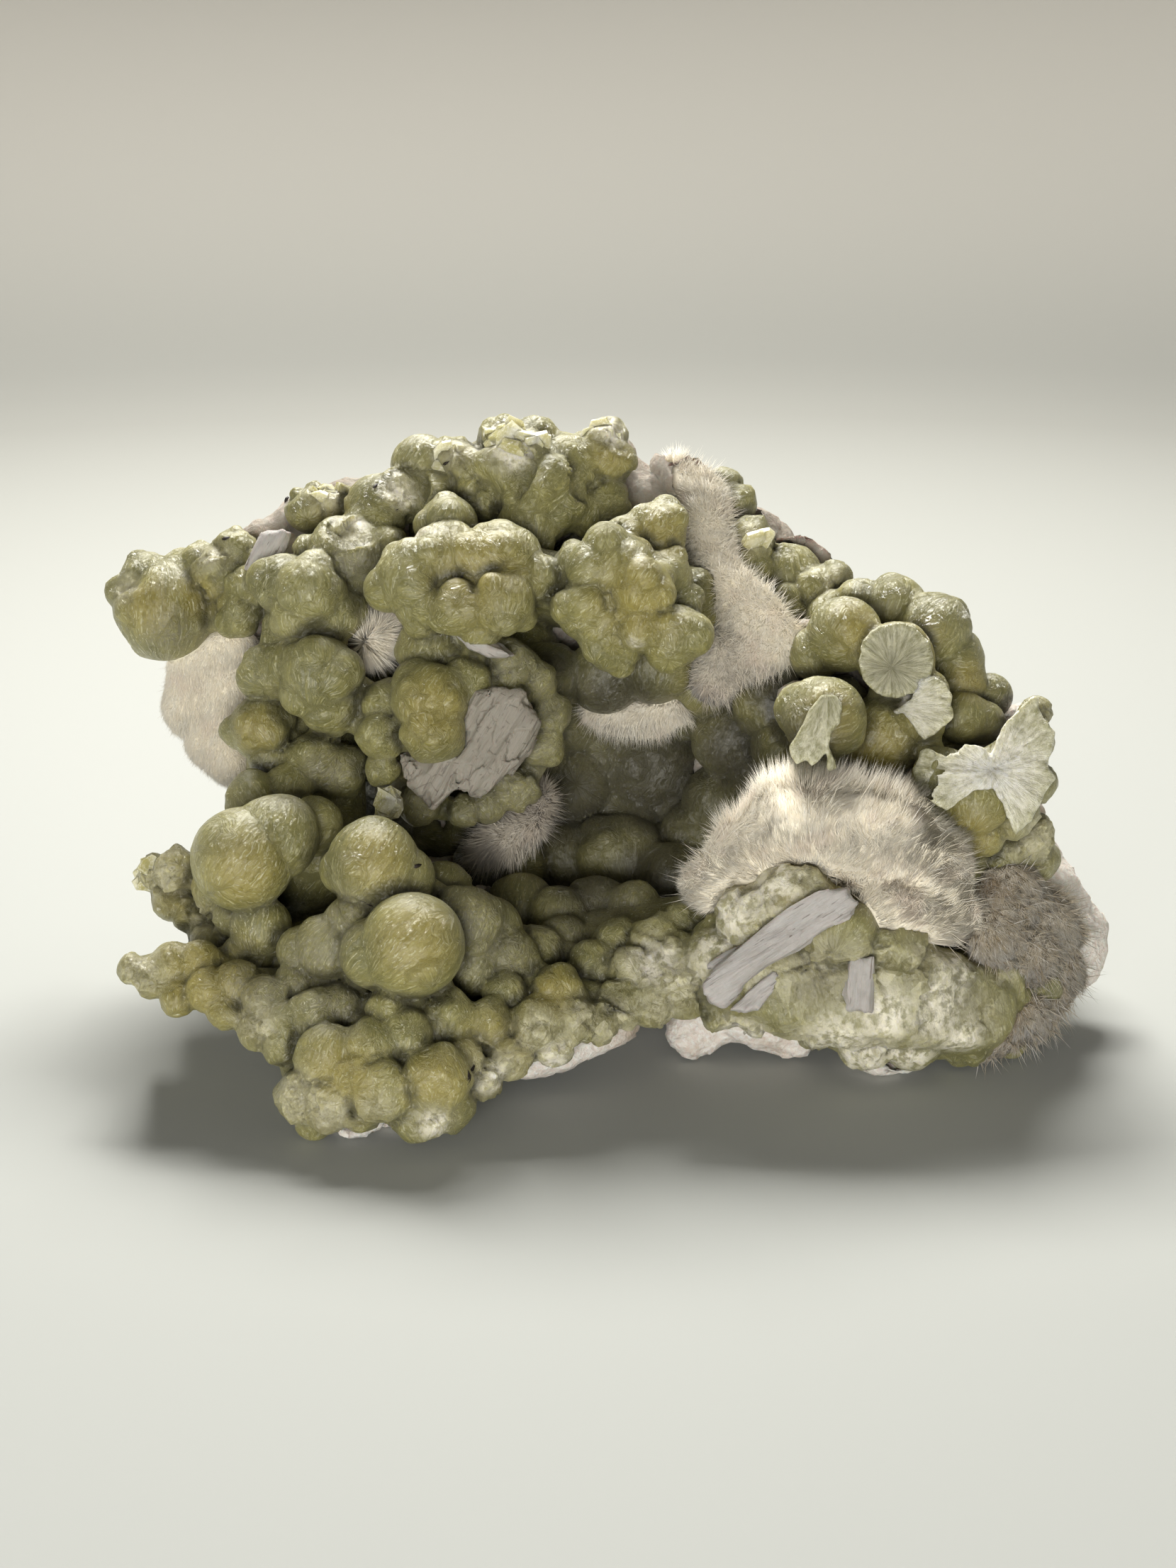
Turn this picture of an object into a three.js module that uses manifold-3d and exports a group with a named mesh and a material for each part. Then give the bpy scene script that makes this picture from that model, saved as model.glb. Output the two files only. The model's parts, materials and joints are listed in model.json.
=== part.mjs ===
// A hand specimen of green botryoidal prehnite that lines a broken vug, with tufts and puffs of white
// okenite, laths of laumontite, and the pale host rock behind and under it. Millimetres, +Z up, standing on
// Z = 0 with the vug open to -Y.
import * as THREE from "three";
import { ConvexGeometry } from "three/addons/geometries/ConvexGeometry.js";
import { mergeVertices } from "three/addons/utils/BufferGeometryUtils.js";
import Module from "manifold-3d";

const wasm = await Module();
wasm.setup();

// The open side is laid out on a display plane, which leans back and faces a viewer: a place on it is
// [across, up, back] from the plane's middle, and what lies further back is spread as perspective spreads it.
const VIEW_TILT = THREE.MathUtils.degToRad(20);
const VIEW_DISTANCE = 280;
const MIDDLE_HEIGHT = 28.3;

// The middle of the specimen's box, over its ground: the frame's origin.
const BOX_MIDDLE = new THREE.Vector3(2.5, -0.7, 0);

// The clearance that touching pieces keep.
const GAP = 0.3;

// Lobes from this radius up are knobs of the solid. The cluster's core stands in for the smaller ones.
const SMALLEST_KNOB = 4.5;

// Knobs of twenty faces are this much larger than their lobes, so that facets and corners even out.
const FACET_SWELL = 1.1;

// Beads of a tuft from this radius up are rounder.
const FINE_BEAD = 4.5;

// How far a cluster's core reaches back, how much of each lobe's radius it fills, and how it narrows.
const CORE_DEPTH = 12;
const CORE_FILL = 0.62;
const CORE_TAPER = 0.97;

// The block of ground that flattens the feet, wider than the specimen.
const GROUND_WIDTH = 400;
const GROUND_DEPTH = 100;

// The prehnite's lobes, [across, up, back, radius], cluster by cluster: the radius is as seen on the
// display plane.
const LOBES = {
  leftHorn: [
    [-51, 21, 5, 6.2], [-48.3, 24, 6, 4.4], [-53, 24.6, 5, 3.4], [-56.3, 23, 5, 1.9], [-46.6, 26.6, 4, 2.6],
    [-44.3, 25.6, 3, 3.4], [-42.6, 28, 3, 3], [-41.8, 20.6, 1, 3], [-40.6, 24, 1, 3.2],
    [-38.6, 24.6, 1, 4.1],
  ],
  leftCrown: [
    [-33.6, 33.2, 3, 3], [-30.2, 33.6, 3, 2.7], [-25.2, 33.4, 0, 4], [-22.6, 35.6, -1, 2.8],
    [-20, 38.4, 2, 3.8], [-16.4, 38.2, 1, 3.6], [-14.6, 38.4, -1, 2.4], [-18, 34, 0, 3.6],
    [-26, 29, 1, 4.1],
  ],
  topRidge: [
    [-8.6, 37.6, -1, 5.6], [-5, 35, -3, 4.9], [-10.2, 40.8, 1, 3.6], [-6.4, 41, 1, 3.4],
    [-2.4, 38.6, 0, 3.6], [1.2, 39.2, 1, 3.8], [2.6, 42, 2, 2.3], [3.6, 39, 1, 2.4], [-13, 35, -1, 3.6],
    [2, 34, 1, 3.2], [-1, 32.8, 0, 3], [-7, 31, -3, 4.1],
  ],
  leftShoulder: [
    [-36.6, 24, -5, 3.8], [-33.8, 23.6, -8, 3.9], [-35.2, 19.9, -7, 2.9], [-31, 20.6, -5, 3.8],
    [-28.6, 27.4, -3, 4.8], [-33.6, 28.2, -3, 1.9], [-26.5, 31, -1, 3], [-24.6, 28.8, -3, 2.6],
  ],
  browLeft: [
    [-21.4, 24.6, -10, 4.4], [-20, 21.6, -10, 3.4], [-17.2, 27, -9, 4.6], [-12.8, 26.8, -10, 4],
    [-9.4, 27.2, -10, 4], [-6.2, 24.4, -10, 3.2], [-16, 21, -13, 3.2], [-10.2, 21.9, -13, 3.9],
    [-13, 18.9, -11, 2.8], [-16.8, 31.2, -5, 3.6],
  ],
  browRight: [
    [3.2, 26, -12, 4.6], [6.4, 23.4, -14, 3.9], [0, 21, -12, 3.9], [-1.4, 26, -10, 3], [9.4, 25.4, -10, 3],
    [10.5, 17.9, -13, 3.8], [3, 16.8, -11, 3.4], [6.2, 19, -13, 3.2], [8.4, 30.6, -7, 3.5],
    [4.4, 29.6, -8, 2.8], [11, 21.5, -9, 2.6],
  ],
  leftColumn: [
    [-38, 13.4, -4, 3.8], [-32.3, 13, -8, 4.9], [-35.6, 14.2, -6, 3.4], [-30.8, 9.6, -7, 3.6],
    [-39.4, 7, -4, 3.7], [-42, 6.2, -3, 2.1], [-38.4, 3.2, -4, 2.6], [-33, 2.6, -5, 3.6],
    [-30, 1.6, -4, 3.3], [-36, -0.6, -7, 2.8], [-40.4, -1.8, -8, 3.2], [-35.4, 17, -3, 4.1],
  ],
  leftGlobes: [
    [-41.6, -9, -18, 6.3], [-37.6, -6.4, -17, 5.2], [-33, -5, -12, 3.6], [-39.4, -17.3, -17, 3.8],
    [-42.6, -16, -14, 2.6], [-25.9, -9.6, -21, 5.6], [-22.2, -11.2, -20, 3.8], [-29.4, -10.4, -20, 3],
    [-21.2, -19.4, -26, 6.4], [-25.6, -20.4, -25, 4.4], [-31.4, -19.6, -22, 4], [-34.6, -20, -21, 3],
    [-28.6, -16.8, -22, 3.4], [-41, -21, -16, 3.4], [-45, -19.4, -12, 3], [-44.6, -12.6, -12, 3.2],
  ],
  leftShard: [
    [-52, -10.6, -7, 2.2], [-49.4, -10.4, -8, 2.7], [-50, -13.6, -7, 2.4], [-47, -15.6, -8, 2.6],
    [-45.4, -18, -9, 2.2], [-43.6, -12, -11, 4.1],
  ],
  spur: [
    [-54.9, -22.4, -20, 1.9], [-52.2, -23.2, -20, 2.5], [-50, -21.6, -20, 2.7], [-46.8, -21.4, -20, 2.7],
    [-49.2, -25.4, -21, 2.2], [-45.6, -24.8, -22, 2.9], [-42.2, -24, -22, 2.9], [-43.6, -27.4, -23, 2.3],
    [-39, -25.8, -24, 2.8], [-40, -29, -24, 2.6], [-37, -28.6, -25, 2.8], [-36.8, -31.4, -25, 2.4],
  ],
  shelfLeft: [
    [-33, -27.6, -25, 3], [-30.2, -26.8, -24, 2.8], [-35.4, -24.2, -22, 2.6], [-31.5, -32.6, -28, 3.8],
    [-26, -31.6, -28, 3.4], [-22, -30.2, -27, 3.4], [-24, -27.4, -26, 2.8], [-34.4, -37.4, -27, 3.3],
    [-30.8, -38, -28, 3.5], [-24.8, -37, -30, 3.9], [-28, -35, -29, 3], [-18.2, -35.4, -29, 4.2],
    [-20.6, -40, -28, 3.2], [-16.8, -38.8, -27, 3.2], [-33, -40.6, -25, 2.4], [-27.4, -39.4, -27, 2.6],
    [-15, -33, -26, 2.6],
  ],
  shelfMiddle: [
    [-16.6, -28.4, -24, 3.4], [-12, -29, -23, 3.2], [-10, -25.4, -20, 2.8], [-3.6, -25.3, -20, 3.3],
    [-6.2, -29, -23, 3.3], [-1.6, -28.6, -22, 3], [-9.6, -33, -24, 2.7], [-4, -31.4, -22, 2.4],
    [1.2, -28.6, -21, 2.4], [-12.8, -35.6, -25, 2.5], [4, -26.4, -20, 2.8], [7.6, -26.4, -19, 2.8],
  ],
  shelfRight: [
    [0.4, -21.4, -15, 2.8], [3.6, -19, -12, 3], [5.2, -22.6, -17, 3], [8, -19, -14, 3.4],
    [10.6, -21, -16, 3.4], [11.4, -17, -12, 2.6], [11.8, -25, -18, 3.4], [8.6, -24, -18, 3],
  ],
  shelfInner: [
    [-14.6, -16.6, -18, 4.4], [-12, -17.6, -14, 4.2], [-9.8, -21.2, -16, 4], [-14, -22.4, -18, 3.4],
    [-6, -20.4, -12, 3.4], [-3, -19.4, -8, 3.6], [-17.4, -12.6, -12, 3.4],
  ],
  cavityFloor: [
    [-8, -14.8, 0, 4.2], [-3.6, -16, -3, 3.8], [1, -15, 0, 4], [5.6, -15, -3, 3.4], [4, -9.6, 12, 6],
    [-2.6, -9.4, 14, 5], [10, -11.6, 8, 4.6], [-12, -10, 6, 4.4],
  ],
  cavityBack: [
    [7, 2.8, 16, 6], [17, 5.4, 9, 4.6], [15.6, -2.4, 11, 4.4], [19.4, -1.6, 9, 3.8], [12, 8.6, 12, 3.4],
    [20, 1.4, 8, 3.2], [-1, 1, 20, 5.4], [-7, 4.6, 14, 4.6], [-2, 7.4, 15, 4.4], [4.4, 9.6, 12, 3.6],
    [13, -6, 12, 4.2],
  ],
  middleKnob: [
    [-19, 10, -11, 4.7], [-18.6, 6.4, -12, 3.9], [-20.6, 12.2, -10, 3], [-25, 5.8, -10, 2.9],
    [-24.8, 1.8, -9, 2.1], [-14.8, 12.2, -9, 3.2], [-20.4, -2.4, -4, 2.7], [-15, -3.3, -2, 2],
    [-12, -2.6, -1, 2.2], [-24.4, 9.6, -8, 3], [-19, 16.4, -6, 4.1],
  ],
  middleGrey: [
    [-9.4, 14, -6, 3.4], [-6.2, 12.4, -5, 2.6], [-4.8, 8.4, -3, 2.8], [-5.2, 4.6, -3, 2.4],
    [-8.4, -0.6, -1, 2.6], [-12, 6, -6, 4.6], [-11, 10, -6, 3.6],
  ],
  rightCluster: [
    [32.6, 22, 0, 2.8], [37, 21.6, -1, 3.7], [41.6, 18.6, -3, 4.6], [44, 15, -2, 3.8], [43.2, 20, 0, 2.8],
    [44.8, 12.4, -2, 3.2], [30.9, 18, -6, 4.6], [27.4, 15.6, -4, 3.2], [37.2, 15, -9, 4.6],
    [28.8, 8.5, -14, 4.9], [25.8, 9, -12, 3.4], [35.6, 5.6, -6, 5], [40, 7.8, -9, 3.2],
    [41.2, 11.4, -10, 2.3], [45.2, 8, -5, 3.2], [47.6, 7.4, -4, 2.7], [48.4, 10.6, 0, 2.8],
  ],
  rightCrown: [
    [42.8, 0.6, -13, 3.9], [46.6, -2.4, -14, 3.8], [50, 1.4, -13, 4], [53, 5, -11, 3], [54, 8.8, -10, 1.8],
    [54.4, 0.2, -11, 2.3], [51, -3.4, -12, 3.2], [47.6, -6.2, -12, 2.7], [44, -4.4, -12, 3.2],
    [53.4, -6.4, -8, 2.8], [54, -9.4, -7, 2.6], [50, -8.8, -8, 3], [45, -9.4, -7, 4.1],
  ],
  farRight: [
    [19.6, 29.4, 6, 2.9], [19.8, 26.4, 5, 2.8], [24.2, 24.8, 8, 4.2], [27.2, 23, 6, 3.4],
    [29.6, 24.4, 5, 2.2], [16.4, 35.8, 10, 2.4], [18, 33.6, 9, 2.4], [23.6, 20.6, 5, 3.2], [25, 16, 0, 3],
    [12.4, 22, 1, 4.1], [30, 19.4, 3, 4.1],
  ],
  brokenFront: [
    [18, -23, -17, 5], [24, -25, -18, 5], [30, -25, -18, 5.4], [36.4, -24.6, -17, 5.6], [25, -14, -20, 5],
    [20, -16, -19, 4.6], [42, -25, -14, 5.4], [30, -18, -20, 5], [37, -19, -19, 4.6],
    [27.6, -28.6, -15, 3.4], [33.6, -30.6, -14, 4], [39, -30.6, -13, 4], [45.2, -30.6, -10, 3.6],
    [48, -24, -9, 5.4], [52.6, -23, -5, 5.2], [50, -28.6, -6, 4], [15.6, -19.4, -15, 3.6],
    [15.4, -26.6, -16, 3], [20.4, -27, -16, 3],
  ],
  cavityRight: [
    [24.6, 4.4, 3, 5], [26, -1.4, 0, 4.6], [22, 9.6, 4, 4.6], [28, 2, -3, 4.4], [20.6, 12.6, 5, 3.6],
  ],
  cavityCeiling: [
    [2, 13, 6, 4.6], [8, 14.4, 5, 4.8], [-5, 12.8, 6, 4.4], [14, 12.4, 8, 4.4],
  ],
};

// The prehnite behind the lobes that ties the clusters together: a convex block around each list.
const BACKING = {
  roofLeft: [
    [-27, 26, 12, 9], [-12, 28, 12, 9], [3, 27, 12, 9],
  ],
  roofMiddle: [
    [3, 27, 12, 9], [17, 20, 14, 9],
  ],
  roofRight: [
    [17, 20, 14, 9], [30, 14, 10, 9], [42, 4, 4, 8],
  ],
  left: [
    [-34, 8, 6, 7], [-34, -8, -1, 7.4],
  ],
  floorLeft: [
    [-32, -24, -12, 8], [-14, -26, -8, 6],
  ],
  floorRight: [
    [2, -21, -4, 6], [14, -20, -6, 7],
  ],
  right: [
    [46, -12, -2, 7], [36, -18, -6, 7],
  ],
  vugBack: [
    [-20, -2, 20, 8], [-4, 0, 27, 9], [12, 0, 25, 9], [24, -2, 14, 8],
  ],
  vugLeft: [
    [-24, 12, 14, 8], [-10, 15, 12, 7],
  ],
};

// The host rock's blocks, each around the hearts [x, y, z, radius x, radius y, radius z].
const BLOCKS = {
  upperLeft: [
    [-29, 23, 40, 13, 11, 12], [-6, 28, 46, 15, 11, 15],
  ],
  upperRight: [
    [8, 28, 45, 16, 11, 15], [30, 21, 33, 14, 12, 14], [44, 10, 22, 12, 12, 13],
  ],
  lowerLeft: [
    [-20, 20, 22, 15, 13, 17], [4, 26, 18, 15, 12, 15],
  ],
  lowerRight: [
    [24, 18, 17, 16, 13, 14], [51, 0, 15, 8, 9, 8],
  ],
  baseLeft: [
    [-18, 0, 9, 15, 16, 7], [-24, -14, 9, 11, 8, 7],
  ],
  baseRight: [
    [22, 0, 8, 16, 13, 7.4], [2, -3, 8, 13, 12, 6.6],
  ],
  shelfFoot: [
    [-26, -33, 3.6, 6, 5.4, 5], [-26, -24, 7, 7, 8, 6],
  ],
  rightFoot: [
    [35, -18, 3.4, 5.4, 5.4, 5], [34, -10, 6, 6, 6, 5],
  ],
  middleFoot: [
    [12.4, -17, 3, 4.6, 4.2, 4.4], [14, -11, 6, 5, 5, 5],
  ],
  backLeftFoot: [
    [-18, 24, 4, 9, 7, 6],
  ],
  backRightFoot: [
    [26, 20, 4, 9, 7, 6],
  ],
  leftWall: [
    [-43, 20, 33, 7, 6, 8], [-34, 21, 30, 8, 8, 10],
  ],
};

// The pale crust of host rock that shows around the edges, laid out as the lobes are.
const RIND = {
  topLeft: [
    [-38, 28, 9, 4.6], [-33, 30, 9, 5.4], [-27.5, 32.6, 9, 5], [-26, 26, 16, 5],
  ],
  topRight: [
    [7, 35.4, 7, 4], [12.4, 34, 10, 5],
  ],
  upperEdge: [
    [20, 30, 12, 4], [26, 25, 11, 4],
  ],
  rightTip: [
    [58, -17.4, 2, 4.6], [58.4, -21.4, 2, 3.6], [56.6, -13, 1, 3.6],
  ],
  shelfLip: [
    [-7, -33, -17, 3.4], [4, -29, -13, 3], [-2, -26, -2, 4],
  ],
  shelfToe: [
    [-24, -39, -22, 3.4], [-20, -36, -16, 4],
  ],
  rightLip: [
    [24, -30, -8, 4], [14, -27, -8, 4],
  ],
};

// The okenite tufts: beads that each tuft's fibre tips reach, in the order that it runs.
const TUFTS = {
  okenite_front_puff: [
    [14.6, -12.2, -15, 3.2], [18.6, -9, -16, 4.6], [24, -5.5, -17, 5.6], [30, -6, -18, 6.2],
    [36.4, -7.6, -18, 6], [41, -11, -17, 5.4], [42.4, -15.4, -16, 4.6], [37, -15, -19, 4.6],
  ],
  okenite_right_puff: [
    [49.4, -19, -12, 4], [50.4, -13.4, -9, 4.6], [54.6, -18, -5, 5.2], [51.6, -20.4, -9, 4.8],
    [56.4, -23, -2, 3.8], [51.6, -27.6, -7, 4.4], [46.6, -30.4, -9, 3.4],
  ],
  okenite_upper_band: [
    [10.4, 37, 8, 2.8], [13.4, 34.6, 6, 3.2], [14.4, 30.6, 4, 3], [15.6, 26.4, 2, 2.8],
    [17.4, 22.6, 0, 3.2], [20.6, 19.6, -1, 3.6], [23.4, 16.8, -2, 3.2], [18, 15.6, 1, 3.6],
    [14.8, 12.6, 4, 3.2],
  ],
  okenite_ledge_fringe: [
    [10.8, 9.4, 8, 2.4], [7.4, 8.8, 9, 2.7], [4, 8.6, 10, 2.6], [0.8, 9, 10.6, 2.2],
  ],
  okenite_left_drape: [
    [-42.6, 16.4, 7, 3.3], [-46.8, 14.4, 8, 3.9], [-47.4, 9.4, 9, 3.9], [-43.4, 11.4, 8, 3.8],
    [-45, 5.4, 9, 3.7], [-43, 2.6, 8, 3],
  ],
  okenite_small_tuft: [
    [-26.4, 17, -3, 2.4], [-24.6, 18.6, -3, 2.2], [-25.4, 19, 2.4, 2.6],
  ],
  okenite_vug_tuft: [
    [-6, -1.6, 4, 2.2], [-7.4, -5, 3, 2.6], [-10.4, -7, 2, 2.8], [-12.6, -8.4, 2, 2.2],
  ],
};

// The laths and plates of laumontite: an outline on the display plane, how far back the rear face is, and
// the thickness towards the viewer.
const LATHS = {
  laumontite_front_lath: {
    outline: [[14.8, -22.2], [28.5, -12.3], [32.5, -13.5], [32.3, -16], [30, -18], [20, -23.3], [17, -25.5],
      [14.6, -25.8]],
    back: -22.4,
    thickness: 3,
  },
  laumontite_small_lath: {
    outline: [[17.3, -27.2], [20.5, -27.2], [23.6, -23.2], [22.3, -22.8], [20.4, -24.4]],
    back: -20.4,
    thickness: 2.6,
  },
  laumontite_low_lath: {
    outline: [[31.7, -20.5], [34.5, -20.8], [34.6, -24.5], [34.2, -27.5], [31, -27.3], [30.8, -25.2]],
    back: -20.6,
    thickness: 3,
  },
  laumontite_middle_plate: {
    outline: [[-14, 12], [-8.5, 11], [-6, 7.5], [-7, 4], [-10, 1], [-13, -1.8], [-16, -0.5], [-18.5, -3.2],
      [-21.5, 0], [-22.5, 3.5], [-19, 2.2], [-15.5, 4.5], [-15, 8]],
    back: -7,
    thickness: 5,
  },
  laumontite_middle_shard: {
    outline: [[-16, 18.2], [-13, 18], [-10.3, 16.6], [-9, 15.5], [-12, 15], [-14.5, 16.2]],
    back: -10,
    thickness: 3,
  },
  laumontite_upper_sprig: {
    outline: [[-41.2, 26], [-39, 30], [-37, 30.8], [-35.6, 30.4], [-36.5, 27.5], [-38, 26], [-39.2, 27.2],
      [-40.5, 25.4]],
    back: 0,
    thickness: 3,
  },
};

// Each material's colour, roughness and metalness.
const FINISHES = {
  prehnite: { color: "#9c9a6a", roughness: 0.4, metalness: 0 },
  hostRock: { color: "#d8cfc6", roughness: 0.9, metalness: 0 },
  okenite: { color: "#e6dccf", roughness: 0.9, metalness: 0 },
  laumontite: { color: "#dcd7d6", roughness: 0.7, metalness: 0 },
};

// A place on the display plane, in the specimen's own frame.
function place([across, up, back]) {
  const spread = 1 + back / VIEW_DISTANCE;
  return new THREE.Vector3(
    across * spread,
    back * Math.cos(VIEW_TILT) + up * spread * Math.sin(VIEW_TILT),
    MIDDLE_HEIGHT + up * spread * Math.cos(VIEW_TILT) - back * Math.sin(VIEW_TILT),
  );
}

// The closed solid of a three.js geometry.
function solidOf(geometry) {
  geometry.deleteAttribute("normal");
  geometry.deleteAttribute("uv");
  const merged = mergeVertices(geometry, 1e-4);
  return new wasm.Manifold(
    new wasm.Mesh({
      numProp: 3,
      vertProperties: merged.attributes.position.array,
      triVerts: new Uint32Array(merged.index.array),
    }),
  );
}

function geometryOf(solid) {
  const mesh = solid.getMesh();
  const geometry = new THREE.BufferGeometry();
  geometry.setAttribute("position", new THREE.BufferAttribute(new Float32Array(mesh.vertProperties), 3));
  geometry.setIndex(new THREE.BufferAttribute(new Uint32Array(mesh.triVerts), 1));
  geometry.computeVertexNormals();
  return geometry;
}

const join = (solids) => solids.reduce((whole, solid) => whole.add(solid));
const largest = (solid) => solid.decompose().sort((a, b) => b.volume() - a.volume())[0];

// What lies above the ground that the specimen stands on.
function standing(solid) {
  const ground = new THREE.BoxGeometry(GROUND_WIDTH, GROUND_WIDTH, GROUND_DEPTH);
  return largest(solid.subtract(solidOf(ground.translate(0, 0, -GROUND_DEPTH / 2))));
}

// A faceted knob, turned by its own place so that no two neighbours show the same facets.
function knobGeometry(middle, radii, detail) {
  const turn = new THREE.Euler(middle.x, middle.y, middle.z);
  return new THREE.IcosahedronGeometry(1, detail)
    .applyMatrix4(new THREE.Matrix4().makeRotationFromEuler(turn))
    .scale(radii.x, radii.y, radii.z)
    .translate(middle.x, middle.y, middle.z);
}

function lobeGeometry(row, grow, detail) {
  const swell = detail === 0 ? FACET_SWELL : 1;
  const radius = row[3] * swell * (1 + row[2] / VIEW_DISTANCE) + grow;
  return knobGeometry(place(row), new THREE.Vector3(radius, radius, radius), detail);
}

// The corners of a geometry, for a convex piece around several of them.
function cornersOf(geometry) {
  const { position } = geometry.attributes;
  const indices = Array.from({ length: position.count }, (_, i) => i);
  return indices.map((i) => new THREE.Vector3().fromBufferAttribute(position, i));
}

// A cluster's core: the convex body around the hearts of its lobes and the crust behind them.
function clusterCore(rows) {
  const points = rows.flatMap(([across, up, back, radius]) => {
    const reach = radius * CORE_FILL;
    return [
      place([across - reach, up, back]),
      place([across + reach, up, back]),
      place([across, up - reach, back]),
      place([across, up + reach, back]),
      place([across * CORE_TAPER, up * CORE_TAPER, back + CORE_DEPTH]),
    ];
  });
  return solidOf(new ConvexGeometry(points));
}

// The prehnite before its neighbours are cut from it.
function prehniteBody() {
  const clusters = Object.values(LOBES);
  const knobs = clusters
    .flat()
    .filter((row) => row[3] >= SMALLEST_KNOB)
    .map((row) => solidOf(lobeGeometry(row, 0, 0)));
  const backing = Object.values(BACKING).map((rows) =>
    solidOf(new ConvexGeometry(rows.flatMap((row) => cornersOf(lobeGeometry(row, 0, 0))))),
  );
  return join([...clusters.map(clusterCore), ...backing, ...knobs]);
}

// The host rock, larger by grow: blunt convex blocks, each around a few rounded hearts.
function hostBody(grow) {
  const heart = ([x, y, z, ...radii]) =>
    knobGeometry(new THREE.Vector3(x, y, z), new THREE.Vector3(...radii).addScalar(grow), 0);
  const lump = (row) => lobeGeometry(row, grow, 0);
  const blocks = Object.values(BLOCKS).map((rows) => rows.map(heart));
  const rind = Object.values(RIND).map((rows) => rows.map(lump));
  return join([...blocks, ...rind].map((pieces) => solidOf(new ConvexGeometry(pieces.flatMap(cornersOf)))));
}

// A tuft, larger by grow: the convex links from each bead to the next.
function tuftBody(beads, grow) {
  const corners = beads.map((row) => cornersOf(lobeGeometry(row, grow, row[3] < FINE_BEAD ? 0 : 1)));
  const links = corners.slice(1).map((next, i) => solidOf(new ConvexGeometry([...corners[i], ...next])));
  return join(links);
}

// A lath, larger by grow: its outline drawn out towards the viewer.
function lathBody({ outline, back, thickness }, grow) {
  const shape = new THREE.Shape(outline.map(([x, y]) => new THREE.Vector2(x, y)));
  const geometry = new THREE.ExtrudeGeometry(shape, {
    depth: thickness,
    bevelEnabled: grow > 0,
    bevelSize: grow,
    bevelThickness: grow,
    bevelSegments: 1,
  });
  const { position } = geometry.attributes;
  for (let i = 0; i < position.count; i += 1) {
    const point = place([position.getX(i), position.getY(i), back - position.getZ(i)]);
    position.setXYZ(i, point.x, point.y, point.z);
  }
  return solidOf(geometry);
}

const specimen = new THREE.Group();
specimen.position.copy(BOX_MIDDLE).negate();

function addPiece(name, solid, finish) {
  const piece = new THREE.Mesh(geometryOf(solid), new THREE.MeshStandardMaterial(FINISHES[finish]));
  piece.name = name;
  specimen.add(piece);
}

const tufts = Object.entries(TUFTS);
const laths = Object.entries(LATHS);

// Laths are whole, tufts make room for them, and the host rock and the prehnite make room for both.
const lathRoom = join(laths.map(([, lath]) => lathBody(lath, GAP)));
const tuftRoom = join(tufts.map(([, beads]) => tuftBody(beads, GAP)));
const guestRoom = lathRoom.add(tuftRoom);

addPiece("prehnite_crust", standing(prehniteBody().subtract(hostBody(GAP)).subtract(guestRoom)), "prehnite");
addPiece("host_rock", standing(hostBody(0).subtract(guestRoom)), "hostRock");
for (const [name, beads] of tufts) {
  addPiece(name, standing(tuftBody(beads, 0).subtract(lathRoom)), "okenite");
}
for (const [name, lath] of laths) {
  addPiece(name, lathBody(lath, 0), "laumontite");
}

export default specimen;
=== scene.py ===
"""The looks of a hand specimen: green botryoidal prehnite that lines a broken vug, with puffs and tufts of
white okenite, laths of laumontite, and the pale host rock behind and under it.

Shapes are worked out in millimetres in the specimen's frame, and become metres where a mesh is made.
"""

import json
import math

import bpy
import numpy as np
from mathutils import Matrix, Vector


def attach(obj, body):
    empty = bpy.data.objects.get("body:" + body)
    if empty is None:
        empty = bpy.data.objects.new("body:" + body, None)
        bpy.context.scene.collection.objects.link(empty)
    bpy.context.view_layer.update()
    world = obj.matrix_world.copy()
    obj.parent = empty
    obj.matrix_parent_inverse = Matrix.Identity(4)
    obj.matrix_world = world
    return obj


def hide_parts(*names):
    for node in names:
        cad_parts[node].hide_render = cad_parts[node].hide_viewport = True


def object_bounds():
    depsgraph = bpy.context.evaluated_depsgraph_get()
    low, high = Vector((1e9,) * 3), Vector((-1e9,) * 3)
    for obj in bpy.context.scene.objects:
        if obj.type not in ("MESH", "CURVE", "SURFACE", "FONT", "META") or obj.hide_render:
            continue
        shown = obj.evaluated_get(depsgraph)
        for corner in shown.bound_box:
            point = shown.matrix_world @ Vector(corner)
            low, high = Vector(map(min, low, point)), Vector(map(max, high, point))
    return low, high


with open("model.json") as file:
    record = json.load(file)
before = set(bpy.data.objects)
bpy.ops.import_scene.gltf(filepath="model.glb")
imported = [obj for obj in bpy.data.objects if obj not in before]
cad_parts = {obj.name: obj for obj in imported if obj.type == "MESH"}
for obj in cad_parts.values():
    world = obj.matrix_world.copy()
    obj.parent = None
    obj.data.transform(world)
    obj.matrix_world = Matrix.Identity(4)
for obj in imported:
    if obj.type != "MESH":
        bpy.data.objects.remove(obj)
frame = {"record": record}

CAD_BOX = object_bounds()
SLOTS = {row["node"]: row["material_slot"] for row in frame["record"]["subparts"]}
MM = 0.001

# The corners of the specimen's box in millimetres, how far anything may stand out of it, and how much room
# the grids of the stones leave around it.
LOW, HIGH = (np.array(corner) / MM for corner in CAD_BOX)
PROUD = 1.2
GRID_MARGIN = 5

# The display plane leans back and faces the camera: a spot on it is [across, up, back] from its middle, and
# what lies further back is spread as perspective spreads it.
VIEW_TILT = math.radians(20)
VIEW_DISTANCE = 280.0
MIDDLE_HEIGHT = 28.3
BOX_MIDDLE = np.array([2.5, -0.7, 0.0])

# The picture: the frame's height at the display plane, and the camera's long side.
PICTURE_HEIGHT = 188.9
SENSOR = 36.0

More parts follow.
